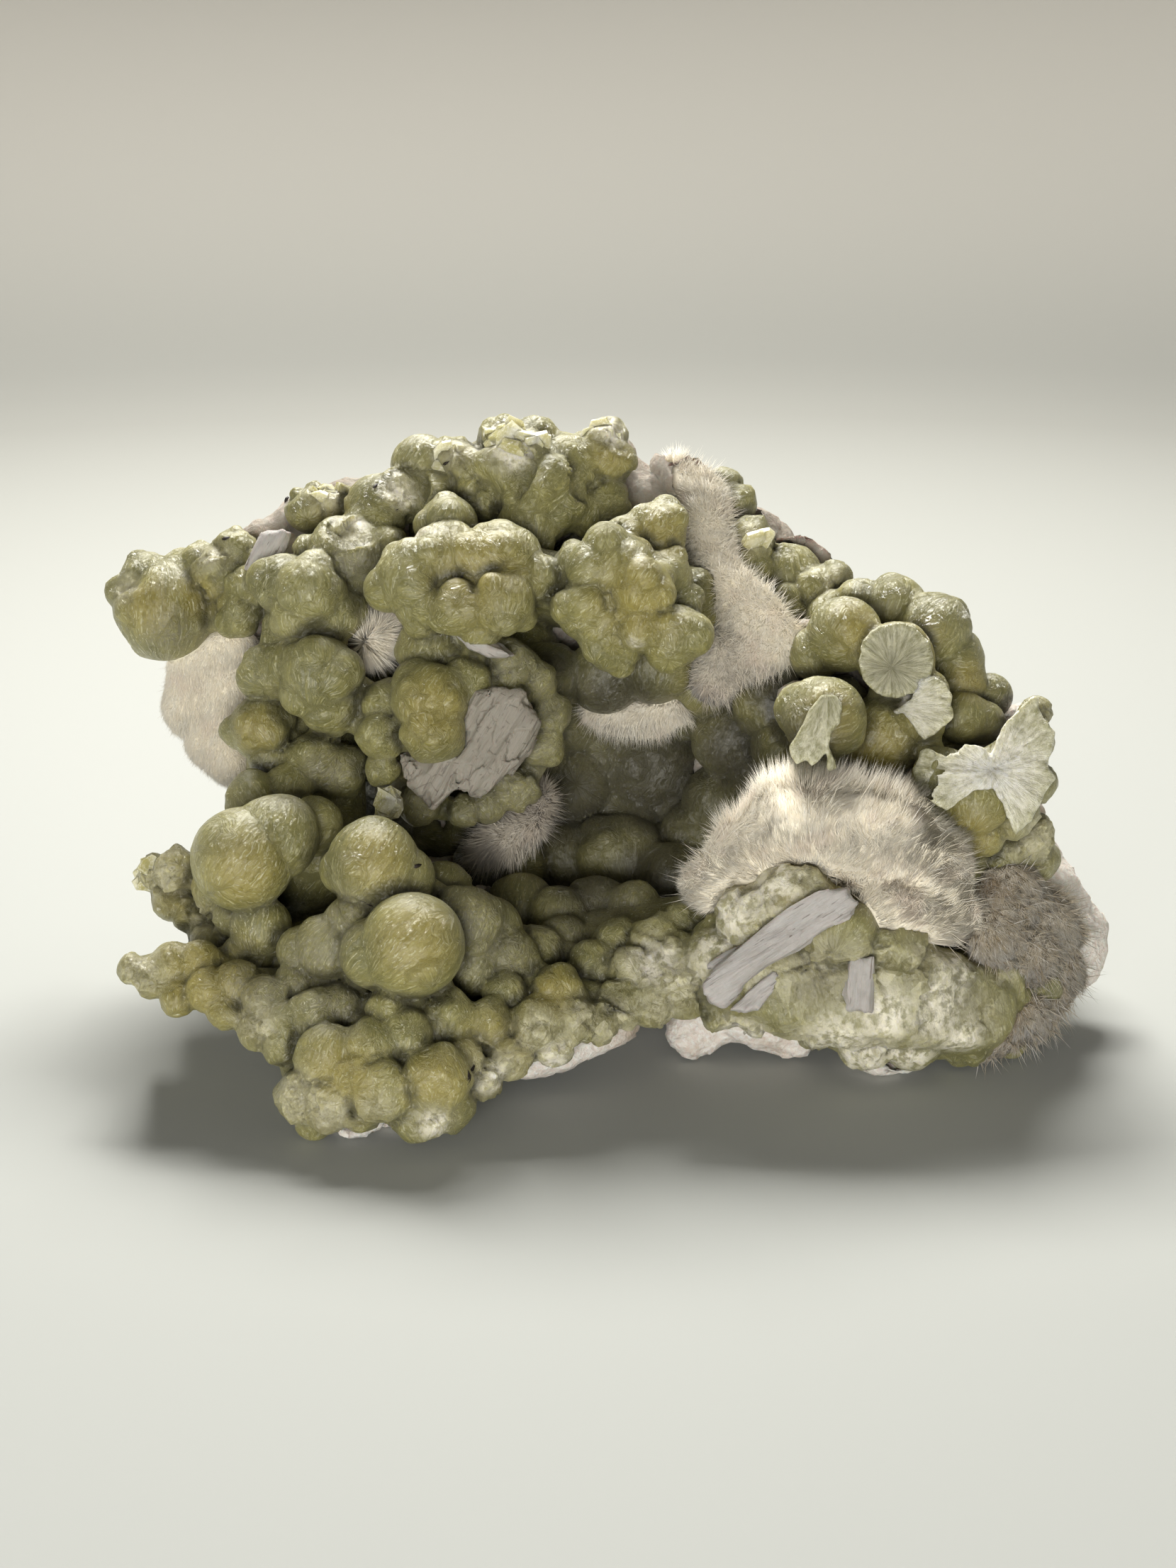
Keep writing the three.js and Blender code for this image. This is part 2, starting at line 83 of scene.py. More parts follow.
# Soft room light from above and behind, and a weak fill from the front: where each light is, where it
# points, its side, its watts and its tint.
LIGHTS = {
    "ceiling_left": [(-110, 335, 470), (0, 10, 20), 170, 3.9, "#FFFDF8"],
    "ceiling_right": [(50, 335, 470), (0, 10, 20), 170, 2.8, "#FFFDF8"],
    "front_fill": [(-70, -520, 50), (0, 0, 30), 260, 3.2, "#FFFEFC"],
}
ROOM_TINT = "#F0F1EE"
ROOM_STRENGTH = 0.06

# The table: a disc of pale board that curves up into a wall all round.
FLOOR_RADIUS = 430.0
WALL_RADIUS = 760.0
WALL_HEIGHT = 900.0
FLOOR_SIDES = 96
BEND_STEPS = 16

# The grid's spacing in the stones, the tufts' hearts, the laths and the fans.
STONE_STEP = 0.45
TUFT_STEP = 0.5
LATH_STEP = 0.22
FAN_STEP = 0.28

# How far from a stone its distances are kept, and what stands for further away.
SKIN = 3.0
FAR = 4.0

# Where a line of sight is searched for a stone, from in front of the display plane to behind it.
SIGHT_LINE = np.arange(-40, 40, 0.1)

# How far out the air over a point is felt: in its crease, and in the hollow around it.
AIR_REACHES = (0.8, 2.6)

# The seeds of all that is random. Each tuft, lath and fan adds its own number.
LOBE_SEED = 5
BLADE_SEED = 8
FLECK_SEED = 3
TUFT_SEED = 100
LATH_SEED = 200
FAN_SEED = 300

# The most triangles in each stone.
PREHNITE_TRIANGLES = 186000
HOST_TRIANGLES = 70000

# The gap between the two stones, and between them and the tufts and laths.
STONE_GAP = 0.15
GUEST_GAP = 0.05

# How far a lobe's heart reaches back into the crust, how much of the lobe's radius it fills, how narrow it
# ends, and how it leans to the middle.
CORE_DEPTH = 12.0
CORE_FILL = 0.72
CORE_END = 0.9
CORE_TAPER = 0.97

# The clusters whose hearts show from behind, how far back the host rock takes them in, how thickly, and how
# rounded it is between them.
BEDDED = [
    "left_horn", "left_crown", "top_ridge", "left_shoulder", "right_cluster", "right_crown", "far_right",
]
BED_DEPTH = 7.0
BED_THICKNESS = 0.5
BED_BLEND = 3.0

# How rounded the host rock is where its blocks meet, and where the rind meets them.
BLOCK_BLEND = 2.0
RIND_BLEND = 1.0

# How deep the stones reach into the laths that are set in them.
LATH_SEAT = 0.7

# How close lobes stand that are joined, how much of their cluster's fill the join takes, and how deep it
# lies.
NEIGHBOUR_GAP = 1.5
NEIGHBOUR_FILL = 0.8
NEIGHBOUR_DEPTH = 2.0

# How rounded the creases between lobes are, and between a lobe and its crumbs.
CREASE = 0.12
CRUMB_CREASE = 0.1

# The radius of a crumb, at least and at most, and its flat faces.
CRUMB_RADIUS = (0.9, 2.2)
CRUMB_FACES = 7

# The prehnite's lobes, [across, up, back, radius] on the display plane, cluster by cluster.
LOBES = {
    "left_horn": [
        [-51, 21, 5, 6.2], [-48.3, 24, 6, 4.4], [-53, 24.6, 5, 3.4], [-56.3, 23, 5, 1.9],
        [-46.6, 26.6, 4, 2.6], [-44.3, 25.6, 3, 3.4], [-42.6, 28, 3, 3], [-41.8, 20.6, 1, 3],
        [-40.6, 24, 1, 3.2], [-38.6, 24.6, 1, 4.1],
    ],
    "left_crown": [
        [-33.6, 33.2, 3, 3], [-30.2, 33.6, 3, 2.7], [-25.2, 33.4, 0, 4], [-22.6, 35.6, -1, 2.8],
        [-20, 38.4, 2, 3.8], [-16.4, 38.2, 1, 3.6], [-14.6, 38.4, -1, 2.4], [-18, 34, 0, 3.6],
        [-26, 29, 1, 4.1],
    ],
    "top_ridge": [
        [-8.6, 37.6, -1, 5.6], [-5, 35, -3, 4.9], [-10.2, 40.8, 1, 3.6], [-6.4, 41, 1, 3.4],
        [-2.4, 38.6, 0, 3.6], [1.2, 39.2, 1, 3.8], [2.6, 42, 2, 2.3], [3.6, 39, 1, 2.4], [-13, 35, -1, 3.6],
        [2, 34, 1, 3.2], [-1, 32.8, 0, 3], [-7, 31, -3, 4.1],
    ],
    "left_shoulder": [
        [-36.6, 24, -5, 3.8], [-33.8, 23.6, -8, 3.9], [-35.2, 19.9, -7, 2.9], [-31, 20.6, -5, 3.8],
        [-28.6, 27.4, -3, 4.8], [-33.6, 28.2, -3, 1.9], [-26.5, 31, -1, 3], [-24.6, 28.8, -3, 2.6],
    ],
    "brow_left": [
        [-21.4, 24.6, -10, 4.4], [-20, 21.6, -10, 3.4], [-17.2, 27, -9, 4.6], [-12.8, 26.8, -10, 4],
        [-9.4, 27.2, -10, 4], [-6.2, 24.4, -10, 3.2], [-16, 21, -13, 3.2], [-10.2, 21.9, -13, 3.9],
        [-13, 18.9, -11, 2.8], [-16.8, 31.2, -5, 3.6],
    ],
    "brow_right": [
        [3.2, 26, -12, 4.6], [6.4, 23.4, -14, 3.9], [0, 21, -12, 3.9], [-1.4, 26, -10, 3],
        [9.4, 25.4, -10, 3], [10.5, 17.9, -13, 3.8], [3, 16.8, -11, 3.4], [6.2, 19, -13, 3.2],
        [8.4, 30.6, -7, 3.5], [4.4, 29.6, -8, 2.8], [11, 21.5, -9, 2.6],
    ],
    "left_column": [
        [-38, 13.4, -4, 3.8], [-32.3, 13, -8, 4.9], [-35.6, 14.2, -6, 3.4], [-30.8, 9.6, -7, 3.6],
        [-39.4, 7, -4, 3.7], [-42, 6.2, -3, 2.1], [-38.4, 3.2, -4, 2.6], [-33, 2.6, -5, 3.6],
        [-30, 1.6, -4, 3.3], [-36, -0.6, -7, 2.8], [-40.4, -1.8, -8, 3.2], [-35.4, 17, -3, 4.1],
    ],
    "left_globes": [
        [-41.6, -9, -18, 6.3], [-37.6, -6.4, -17, 5.2], [-33, -5, -12, 3.6], [-39.4, -17.3, -17, 3.8],
        [-42.6, -16, -14, 2.6], [-25.9, -9.6, -21, 5.6], [-22.2, -11.2, -20, 3.8], [-29.4, -10.4, -20, 3],
        [-21.2, -19.4, -26, 6.4], [-25.6, -20.4, -25, 4.4], [-31.4, -19.6, -22, 4], [-34.6, -20, -21, 3],
        [-28.6, -16.8, -22, 3.4], [-41, -21, -16, 3.4], [-45, -19.4, -12, 3], [-44.6, -12.6, -12, 3.2],
    ],
    "left_shard": [
        [-52, -10.6, -7, 2.2], [-49.4, -10.4, -8, 2.7], [-50, -13.6, -7, 2.4], [-47, -15.6, -8, 2.6],
        [-45.4, -18, -9, 2.2], [-43.6, -12, -11, 4.1],
    ],
    "spur": [
        [-54.9, -22.4, -20, 1.9], [-52.2, -23.2, -20, 2.5], [-50, -21.6, -20, 2.7],
        [-46.8, -21.4, -20, 2.7], [-49.2, -25.4, -21, 2.2], [-45.6, -24.8, -22, 2.9],
        [-42.2, -24, -22, 2.9], [-43.6, -27.4, -23, 2.3], [-39, -25.8, -24, 2.8], [-40, -29, -24, 2.6],
        [-37, -28.6, -25, 2.8], [-36.8, -31.4, -25, 2.4],
    ],
    "shelf_left": [
        [-33, -27.6, -25, 3], [-30.2, -26.8, -24, 2.8], [-35.4, -24.2, -22, 2.6], [-31.5, -32.6, -28, 3.8],
        [-26, -31.6, -28, 3.4], [-22, -30.2, -27, 3.4], [-24, -27.4, -26, 2.8], [-34.4, -37.4, -27, 3.3],
        [-30.8, -38, -28, 3.5], [-24.8, -37, -30, 3.9], [-28, -35, -29, 3], [-18.2, -35.4, -29, 4.2],
        [-20.6, -40, -28, 3.2], [-16.8, -38.8, -27, 3.2], [-33, -40.6, -25, 2.4], [-27.4, -39.4, -27, 2.6],
        [-15, -33, -26, 2.6],
    ],
    "shelf_middle": [
        [-16.6, -28.4, -24, 3.4], [-12, -29, -23, 3.2], [-10, -25.4, -20, 2.8], [-3.6, -25.3, -20, 3.3],
        [-6.2, -29, -23, 3.3], [-1.6, -28.6, -22, 3], [-9.6, -33, -24, 2.7], [-4, -31.4, -22, 2.4],
        [1.2, -28.6, -21, 2.4], [-12.8, -35.6, -25, 2.5], [4, -26.4, -20, 2.8], [7.6, -26.4, -19, 2.8],
    ],
    "shelf_right": [
        [0.4, -21.4, -15, 2.8], [3.6, -19, -12, 3], [5.2, -22.6, -17, 3], [8, -19, -14, 3.4],
        [10.6, -21, -16, 3.4], [11.4, -17, -12, 2.6], [11.8, -25, -18, 3.4], [8.6, -24, -18, 3],
    ],
    "shelf_inner": [
        [-14.6, -16.6, -18, 4.4], [-12, -17.6, -14, 4.2], [-9.8, -21.2, -16, 4], [-14, -22.4, -18, 3.4],
        [-6, -20.4, -12, 3.4], [-3, -19.4, -8, 3.6], [-17.4, -12.6, -12, 3.4],
    ],
    "cavity_floor": [
        [-8, -14.8, 0, 4.2], [-3.6, -16, -3, 3.8], [1, -15, 0, 4], [5.6, -15, -3, 3.4], [4, -9.6, 12, 6],
        [-2.6, -9.4, 14, 5], [10, -11.6, 8, 4.6], [-12, -10, 6, 4.4],
    ],
    "cavity_back": [
        [7, 2.8, 16, 6], [17, 5.4, 9, 4.6], [15.6, -2.4, 11, 4.4], [19.4, -1.6, 9, 3.8], [12, 8.6, 12, 3.4],
        [20, 1.4, 8, 3.2], [-1, 1, 20, 5.4], [-7, 4.6, 14, 4.6], [-2, 7.4, 15, 4.4], [4.4, 9.6, 12, 3.6],
        [13, -6, 12, 4.2],
    ],
    "middle_knob": [
        [-19, 10, -11, 4.7], [-18.6, 6.4, -12, 3.9], [-20.6, 12.2, -10, 3], [-25, 5.8, -10, 2.9],
        [-24.8, 1.8, -9, 2.1], [-14.8, 12.2, -9, 3.2], [-20.4, -2.4, -4, 2.7], [-15, -3.3, -2, 2],
        [-12, -2.6, -1, 2.2], [-24.4, 9.6, -8, 3], [-19, 16.4, -6, 4.1],
    ],
    "middle_grey": [
        [-9.4, 14, -6, 3.4], [-6.2, 12.4, -5, 2.6], [-4.8, 8.4, -3, 2.8], [-5.2, 4.6, -3, 2.4],
        [-8.4, -0.6, -1, 2.6], [-12, 6, -6, 4.6], [-11, 10, -6, 3.6],
    ],
    "right_cluster": [
        [32.6, 22, 0, 2.8], [37, 21.6, -1, 3.7], [41.6, 18.6, -3, 4.6], [44, 15, -2, 3.8],
        [43.2, 20, 0, 2.8], [44.8, 12.4, -2, 3.2], [30.9, 18, -6, 4.6], [27.4, 15.6, -4, 3.2],
        [37.2, 15, -9, 4.6], [28.5, 7.9, -14, 5.1], [25.8, 9, -12, 3.4], [35.6, 5.6, -6, 5],
        [40, 7.8, -9, 3.2], [41.2, 11.4, -10, 2.3], [45.2, 8, -5, 3.2], [47.6, 7.4, -4, 2.7],
        [48.4, 10.6, 0, 2.8],
    ],
    "right_crown": [
        [42.8, 0.6, -13, 3.9], [46.6, -2.4, -14, 3.8], [50, 1.4, -13, 4], [53, 5, -11, 3],
        [54, 8.8, -10, 1.8], [54.4, 0.2, -11, 2.3], [51, -3.4, -12, 3.2], [47.6, -6.2, -12, 2.7],
        [44, -4.4, -12, 3.2], [53.4, -6.4, -8, 2.8], [54, -9.4, -7, 2.6], [50, -8.8, -8, 3],
        [45, -9.4, -7, 4.1],
    ],
    "far_right": [
        [19.6, 29.4, 6, 2.9], [19.8, 26.4, 5, 2.8], [24.2, 24.8, 8, 4.2], [27.2, 23, 6, 3.4],
        [29.6, 24.4, 5, 2.2], [16.4, 35.8, 10, 2.4], [18, 33.6, 9, 2.4], [23.6, 20.6, 5, 3.2],
        [25, 16, 0, 3], [12.4, 22, 1, 4.1], [30, 19.4, 3, 4.1],
    ],
    "broken_front": [
        [18, -23, -17, 5], [24, -25, -18, 5], [30, -25, -18, 5.4], [36.4, -24.6, -17, 5.6],
        [25, -14, -20, 5], [20, -16, -19, 4.6], [42, -25, -14, 5.4], [30, -18, -20, 5], [37, -19, -19, 4.6],
        [27.6, -28.6, -15, 3.4], [33.6, -30.6, -14, 4], [39, -30.6, -13, 4], [45.2, -30.6, -10, 3.6],
        [48, -24, -9, 5.4], [52.6, -23, -5, 5.2], [50, -28.6, -6, 4], [15.6, -19.4, -15, 3.6],
        [15.4, -26.6, -16, 3], [20.4, -27, -16, 3],
    ],
    "cavity_right": [
        [24.6, 4.4, 3, 5], [26, -1.4, 0, 4.6], [22, 9.6, 4, 4.6], [28, 2, -3, 4.4], [20.6, 12.6, 5, 3.6],
    ],
    "cavity_ceiling": [[2, 13, 6, 4.6], [8, 14.4, 5, 4.8], [-5, 12.8, 6, 4.4], [14, 12.4, 8, 4.4]],
}

# The prehnite behind the lobes that ties the clusters together.
BACKING = {
    "behind_left_globes": [[-40, -12, 4, 5], [-34, -16, 3, 5.5], [-28, -19, 1, 5]],
    "roof_left": [[-27, 26, 12, 9], [-12, 28, 12, 9], [3, 27, 12, 9]],
    "roof_middle": [[3, 27, 12, 9], [17, 20, 14, 9]],
    "roof_right": [[17, 20, 14, 9], [30, 14, 10, 9], [42, 4, 4, 8]],
    "left": [[-34, 8, 6, 7], [-34, -8, -1, 7.4]],
    "floor_left": [[-32, -24, -12, 8], [-14, -26, -8, 6]],
    "floor_right": [[2, -21, -4, 6], [14, -20, -6, 7]],
    "right": [[46, -12, -2, 7], [36, -18, -6, 7]],
    "vug_back": [[-20, -2, 20, 8], [-4, 0, 27, 9], [12, 0, 25, 9], [24, -2, 14, 8]],
    "vug_left": [[-24, 12, 14, 8], [-10, 15, 12, 7]],
}

# The host rock's blocks around the hearts [x, y, z, radius x, radius y, radius z], before the specimen is
# set over its ground.
BLOCKS = {
    "upper_left": [[-29, 23, 40, 13, 11, 12], [-6, 28, 46, 15, 11, 15]],
    "upper_right": [[8, 28, 45, 16, 11, 15], [30, 21, 33, 14, 12, 14], [44, 10, 22, 12, 12, 13]],
    "lower_left": [[-20, 20, 22, 15, 13, 17], [4, 26, 18, 15, 12, 15]],
    "lower_right": [[24, 18, 17, 16, 13, 14], [51, 0, 15, 8, 9, 8]],
    "base_left": [[-18, 0, 9, 15, 16, 7], [-24, -14, 9, 11, 8, 7]],
    "base_right": [[22, 0, 8, 16, 13, 7.4], [2, -3, 8, 13, 12, 6.6]],
    "shelf_foot": [[-26, -33, 3.6, 6, 5.4, 5], [-26, -24, 7, 7, 8, 6]],
    "right_foot": [[35, -18, 3.4, 5.4, 5.4, 5], [34, -10, 6, 6, 6, 5]],
    "middle_foot": [[12.4, -17, 3, 4.6, 4.2, 4.4], [14, -11, 6, 5, 5, 5]],
    "back_left_foot": [[-18, 24, 4, 9, 7, 6]],
    "back_right_foot": [[26, 20, 4, 9, 7, 6]],
    "left_wall": [[-43, 20, 33, 7, 6, 8], [-34, 21, 30, 8, 8, 10]],
}

# The pale crust of host rock that shows around the edges, laid out as the lobes are.
RIND = {
    "top_left": [[-38, 28, 9, 4.6], [-33, 30, 9, 5.4], [-27.5, 32.6, 9, 5], [-26, 26, 16, 5]],
    "top_right": [[7, 35.4, 7, 4], [12.4, 34, 10, 5]],
    "upper_edge": [[20, 30, 12, 4], [26, 25, 11, 4]],
    "right_tip": [[58, -17.4, 2, 4.6], [58.4, -21.4, 2, 3.6], [56.6, -13, 1, 3.6]],
    "shelf_lip": [[-7, -33, -17, 3.4], [4, -29, -13, 3], [-2, -26, -2, 4]],
    "shelf_toe": [[-24, -39, -22, 3.4], [-20, -36, -16, 4]],
    "right_lip": [[24, -30, -8, 4], [14, -27, -8, 4]],
}

# The okenite tufts: beads that the fibre tips reach, in the order that each tuft runs.
TUFTS = {
    "okenite_front_puff": [
        [14.6, -12.2, -15, 3.2], [18.6, -9, -16, 4.6], [24, -5.5, -17, 5.6], [30, -6, -18, 6.2],
        [36.4, -7.6, -18, 6], [41, -11, -17, 5.4], [42.4, -15.4, -16, 4.6], [37, -15, -19, 4.6],
    ],
    "okenite_right_puff": [
        [49.4, -19, -12, 4], [50.4, -13.4, -9, 4.6], [54.6, -18, -5, 5.2], [51.6, -20.4, -9, 4.8],
        [56.4, -23, -2, 3.8], [51.6, -27.6, -7, 4.4], [46.6, -30.4, -9, 3.4],
    ],
    "okenite_upper_band": [
        [10.4, 37, 8, 2.8], [13.4, 34.6, 6, 3.2], [14.4, 30.6, 4, 3], [15.6, 26.4, 2, 2.8],
        [17.4, 22.6, 0, 3.2], [20.6, 19.6, -1, 3.6], [23.4, 16.8, -2, 3.2], [18, 15.6, 1, 3.6],
        [14.8, 12.6, 4, 3.2],
    ],
    "okenite_ledge_fringe": [
        [10.8, 9.4, 8, 2.4], [7.4, 8.8, 9, 2.7], [4, 8.6, 10, 2.6], [0.8, 9, 10.6, 2.2],
    ],
    "okenite_left_drape": [
        [-42.6, 16.4, 7, 3.3], [-46.8, 14.4, 8, 3.9], [-47.4, 9.4, 9, 3.9], [-43.4, 11.4, 8, 3.8],
        [-45, 5.4, 9, 3.7], [-43, 2.6, 8, 3],
    ],
    "okenite_small_tuft": [[-26.4, 17, -3, 2.4], [-24.6, 18.6, -3, 2.2], [-25.4, 19, 2.4, 2.6]],
    "okenite_vug_tuft": [
        [-6, -1.6, 4, 2.2], [-7.4, -5, 3, 2.6], [-10.4, -7, 2, 2.8], [-12.6, -8.4, 2, 2.2],
    ],
}

# How each cluster grew: the knobbles on each lobe, their size as a share of the lobe, how proud they stand,
# how much of the room between the lobes is filled, the flat faces that broken lobes have, and the angular
# crumbs on each broken lobe.
HABITS = {
    "left_horn": [4, 0.45, 0.12, 0.7, 4, 5],
    "left_crown": [3, 0.45, 0.12, 0.7, 5, 6],
    "top_ridge": [6, 0.4, 0.16, 0.75, 5, 6],
    "left_shoulder": [6, 0.6, 0.24, 0.7, 0, 0],
    "brow_left": [5, 0.62, 0.3, 0.7, 0, 0],
    "brow_right": [6, 0.6, 0.34, 0.7, 0, 0],
    "left_column": [6, 0.6, 0.2, 0.7, 0, 0],
    "left_globes": [3, 0.7, 0.05, 0.6, 0, 0],
    "left_shard": [3, 0.45, 0.16, 0.8, 6, 10],
    "spur": [8, 0.45, 0.16, 0.85, 0, 3],
    "shelf_left": [10, 0.46, 0.2, 0.8, 0, 1],
    "shelf_middle": [9, 0.5, 0.2, 0.8, 0, 2],
    "shelf_right": [5, 0.42, 0.18, 0.8, 4, 9],
    "shelf_inner": [9, 0.42, 0.16, 0.75, 0, 0],
    "cavity_floor": [9, 0.42, 0.16, 0.75, 0, 0],
    "cavity_back": [7, 0.5, 0.1, 0.7, 0, 0],
    "middle_knob": [8, 0.48, 0.18, 0.85, 0, 0],
    "middle_grey": [6, 0.42, 0.18, 0.8, 4, 8],
    "right_cluster": [5, 0.6, 0.09, 0.65, 0, 0],
    "right_crown": [3, 0.5, 0.2, 0.8, 2, 3],
    "far_right": [7, 0.45, 0.14, 0.75, 3, 5],
    "broken_front": [0, 0.35, 0.15, 0.95, 6, 10],
    "cavity_right": [6, 0.5, 0.12, 0.7, 0, 0],
    "cavity_ceiling": [6, 0.45, 0.14, 0.7, 0, 0],
}

# Lobes that line the back of the vug, where they lie against the host: [across, up, radius].
LINING = [
    [-1.5, 0, 5], [-6, 3, 4], [2, 4, 4.5], [-16, -8, 4.5], [-21, -6, 4.5], [-10, -10, 5], [-4, -7, 5],
    [-25, -3, 4], [-14, -3, 4], [4, -3, 5], [-24, 1, 4], [1, 9, 4],
]

# The slab that the broken front was cut from: [across, up, back, radius].
SLAB = [
    [16, -22, -16.5, 5.2], [24, -24.4, -18, 6], [31, -25.4, -18, 6.2], [38, -25.4, -17, 6.2],
    [46, -27, -11, 5.6],
]

# Flat breaks across lobes: [across, up, back, reach] of the break and where it faces, [across, up, back].
BREAKS = [
    [22, -26, -22.6, 12, -0.1, -0.15, -1], [36, -26, -22.2, 12, 0.12, -0.15, -1],
    [47, -27, -16.2, 9, 0.5, -0.1, -0.85], [27, -13.5, -23.4, 7, -0.1, 0.35, -1],
    [7, -22, -20.2, 6, -0.1, 0.3, -1], [37.4, 15.4, -12.2, 5.4, 0.05, 0.1, -1],
    [-22.4, 35.4, -2.6, 3.4, 0.2, 0.45, -0.85], [-28.4, 30.4, -5.8, 3, 0.1, 0.6, -0.8],
    [-9.8, 37.6, -5.4, 3.8, 0.1, 0.2, -1], [-1.4, 36.4, -3.4, 2.6, 0.3, -0.1, -1],
    [-50.4, 19, -0.6, 3.6, 0.1, -0.5, -1],
]

# Crests of glassy blades: [across, up, back, radius] of the lobe that they fan out of, where the fan
# points, [across, up, back], how wide it opens, and its blades.
CRESTS = [
    [-52, 23, 5, 4.4, -0.2, 1, -0.3, 0.9, 12], [-31.8, 33.2, 3, 3.2, 0, 1, -0.5, 0.8, 10],
    [-8.6, 39.4, -1, 4.6, 0, 1, -0.5, 1.1, 14], [1.4, 40, 1, 3.6, 0.2, 1, -0.3, 1, 10],
    [-16.6, 38.4, 1, 3.4, 0, 1, -0.3, 1, 7], [-52, -10.6, -7, 2.6, -1, 0.1, -0.2, 0.9, 8],
    [-49.6, -13.6, -7, 2.6, -0.8, -0.4, -0.3, 0.9, 6], [-22.6, -1.2, -10, 3.4, -0.3, -1, -0.1, 0.5, 4],
    [19.8, 28.8, 5, 3, 0.3, 0.9, -0.4, 1, 7],
]

# Zones of the prehnite, [across, up, reach] around where each is seen: honey-yellow lobes, pale broken
# crystal, grey sugary dust, painted shade over the lining deep in the vug, and stains of white.
WARM = [
    [-41.4, -10.4, 6], [-20.6, -19, 6.5], [-25.6, -9, 5], [-53, 21.6, 5], [-47, 22.4, 4], [-13, 25, 8],
    [6, 22, 8], [-18.6, 9, 6], [-40, 6.6, 4], [41, 17, 6], [33, 19, 5], [35, 4, 6], [-30, 33, 4],
    [-47, -23.4, 9], [-18, -36, 6], [-30, -36, 7], [-4, -25, 5], [-10, -32.6, 7], [23, -12, 8], [3, 40, 4],
    [-50, -12, 6], [29, 8, 5], [46, -6, 6], [9, 30, 5], [46, 12, 4], [41, 9, 4],
]
PALE = [
    [53.4, 6, 7], [54, -6, 6], [41, 9.8, 3.4], [37.4, 15.6, 4.6], [-51.5, -11.5, 5], [-46, -16.6, 4],
    [-54, -22.6, 4], [-40, -29, 4], [-35, -38.4, 5], [-31, -40.6, 4], [-26, -40, 3], [-18.6, -40.6, 3.4],
    [-11, -34.6, 5], [-3.4, -32.6, 5], [3.4, -29, 5], [7, -21, 6], [11.4, -24, 6], [19, -29, 6],
    [27, -31, 7], [34.4, -31.6, 7], [40.4, -22, 5], [26.6, -11.4, 4], [20, -15, 5], [41, -29, 5],
    [-22.4, 35, 3], [-31.4, 35, 3.4], [-9, 41, 4.6], [2.4, 42.6, 4], [-16.4, 40, 3.6], [-55.8, 23.4, 3],
    [-45.6, 27.6, 3.4], [-28.8, 30.9, 2.6], [20, 29.6, 3], [30, 24, 2.4], [-24, -0.8, 3], [49, -22, 4],
    [-19.8, 30.4, 1.6], [18, -12.6, 5], [22, -10.6, 5], [28, -9, 4], [20, -22, 6], [27, -22.6, 6.6],
    [34, -24, 7], [42, -25, 7], [47, -28, 5], [-6, -30, 4], [0, -28, 4], [9, -27, 4],
]
DUSTY = [
    [-39.8, -23.6, 6], [-33.4, -21.6, 6], [-30.6, -27.4, 5], [-29.6, -16, 5], [-14, -17.6, 7],
    [-8.2, 14.6, 5], [-5, 9, 5], [-6, 4, 4], [-10, -20, 5], [-3, -17, 7], [3, -15, 7], [-31.4, 1.6, 4],
    [-28, 28, 5], [5, 2, 13], [-8, 0, 8], [17, 3, 7], [28, -22.6, 5], [44.6, -25, 5], [-36, -1.4, 4],
    [-50.4, 18, 4], [37.6, 15.2, 3], [-8.4, -0.6, 4], [-13, -3, 4], [-20, -2.4, 4], [-5, 12, 4],
    [-12, 2, 7], [0, 10, 6],
]
VUG_SHADE = [
    [-3, -3, 13], [8, 0, 12], [18, 4, 9], [4, 10, 9], [-14, -8, 7], [-1, -12, 8], [8, -10, 8], [-24, -4, 6],
    [26, 4, 7], [-4, 15, 4], [22, 12, 6],
]
STAINS = [
    [5.7, 17, 1.3], [-39.4, 19.6, 1.8], [-20.1, 30.3, 1.8], [-27.6, 31.4, 1.4], [37.6, 10.6, 1.6],
    [-18.6, -41, 2], [-11, -36, 2.4], [-4, -33.4, 2.6], [3, -30.4, 2.8], [19, -29.6, 4], [26, -32, 4.6],
    [33, -33, 5], [38.6, -33, 4], [45, -31, 4], [53, 5, 3], [8, -21.6, 3.6], [17, -15, 5], [22, -11.6, 4.6],
    [15.4, -20, 4], [44, -22, 4], [42, -27, 5], [30, -31, 5], [36, -28, 4], [-22.4, 35.4, 2.6], [-9, 40, 3],
    [2.6, 42.4, 2.6],
]

# Dark flecks that lie on the prehnite: [across, up, length, turn in degrees].
FLECKS = [
    [-20.6, -9.9, 1.5, 20], [-26.7, -14.4, 1.6, -35], [-15.2, 25, 1.2, 80], [-17.2, 38.6, 1.2, 30],
    [-23.6, 34, 1.1, -20], [-25.6, 35.9, 1.2, 60], [-22.9, 33, 1, 20], [-36.4, 34.2, 1, 10],
    [-43.6, 29.6, 1.4, 10], [-14.4, -35.4, 1.6, 75], [-13.9, -34.2, 1.2, 55],
]

# Where painted shade makes the okenite a dull greyish brown, deep in the vug: [across, up, back, reach].
VUG_FIBRE_SHADE = [
    [18, 15, 1, 5], [14.8, 12, 5, 6], [-7, -3.4, 4, 8], [-12, -8, 2, 6], [22, 18, 0, 3.4],
    [6, 11, 9.4, 3.6],
]

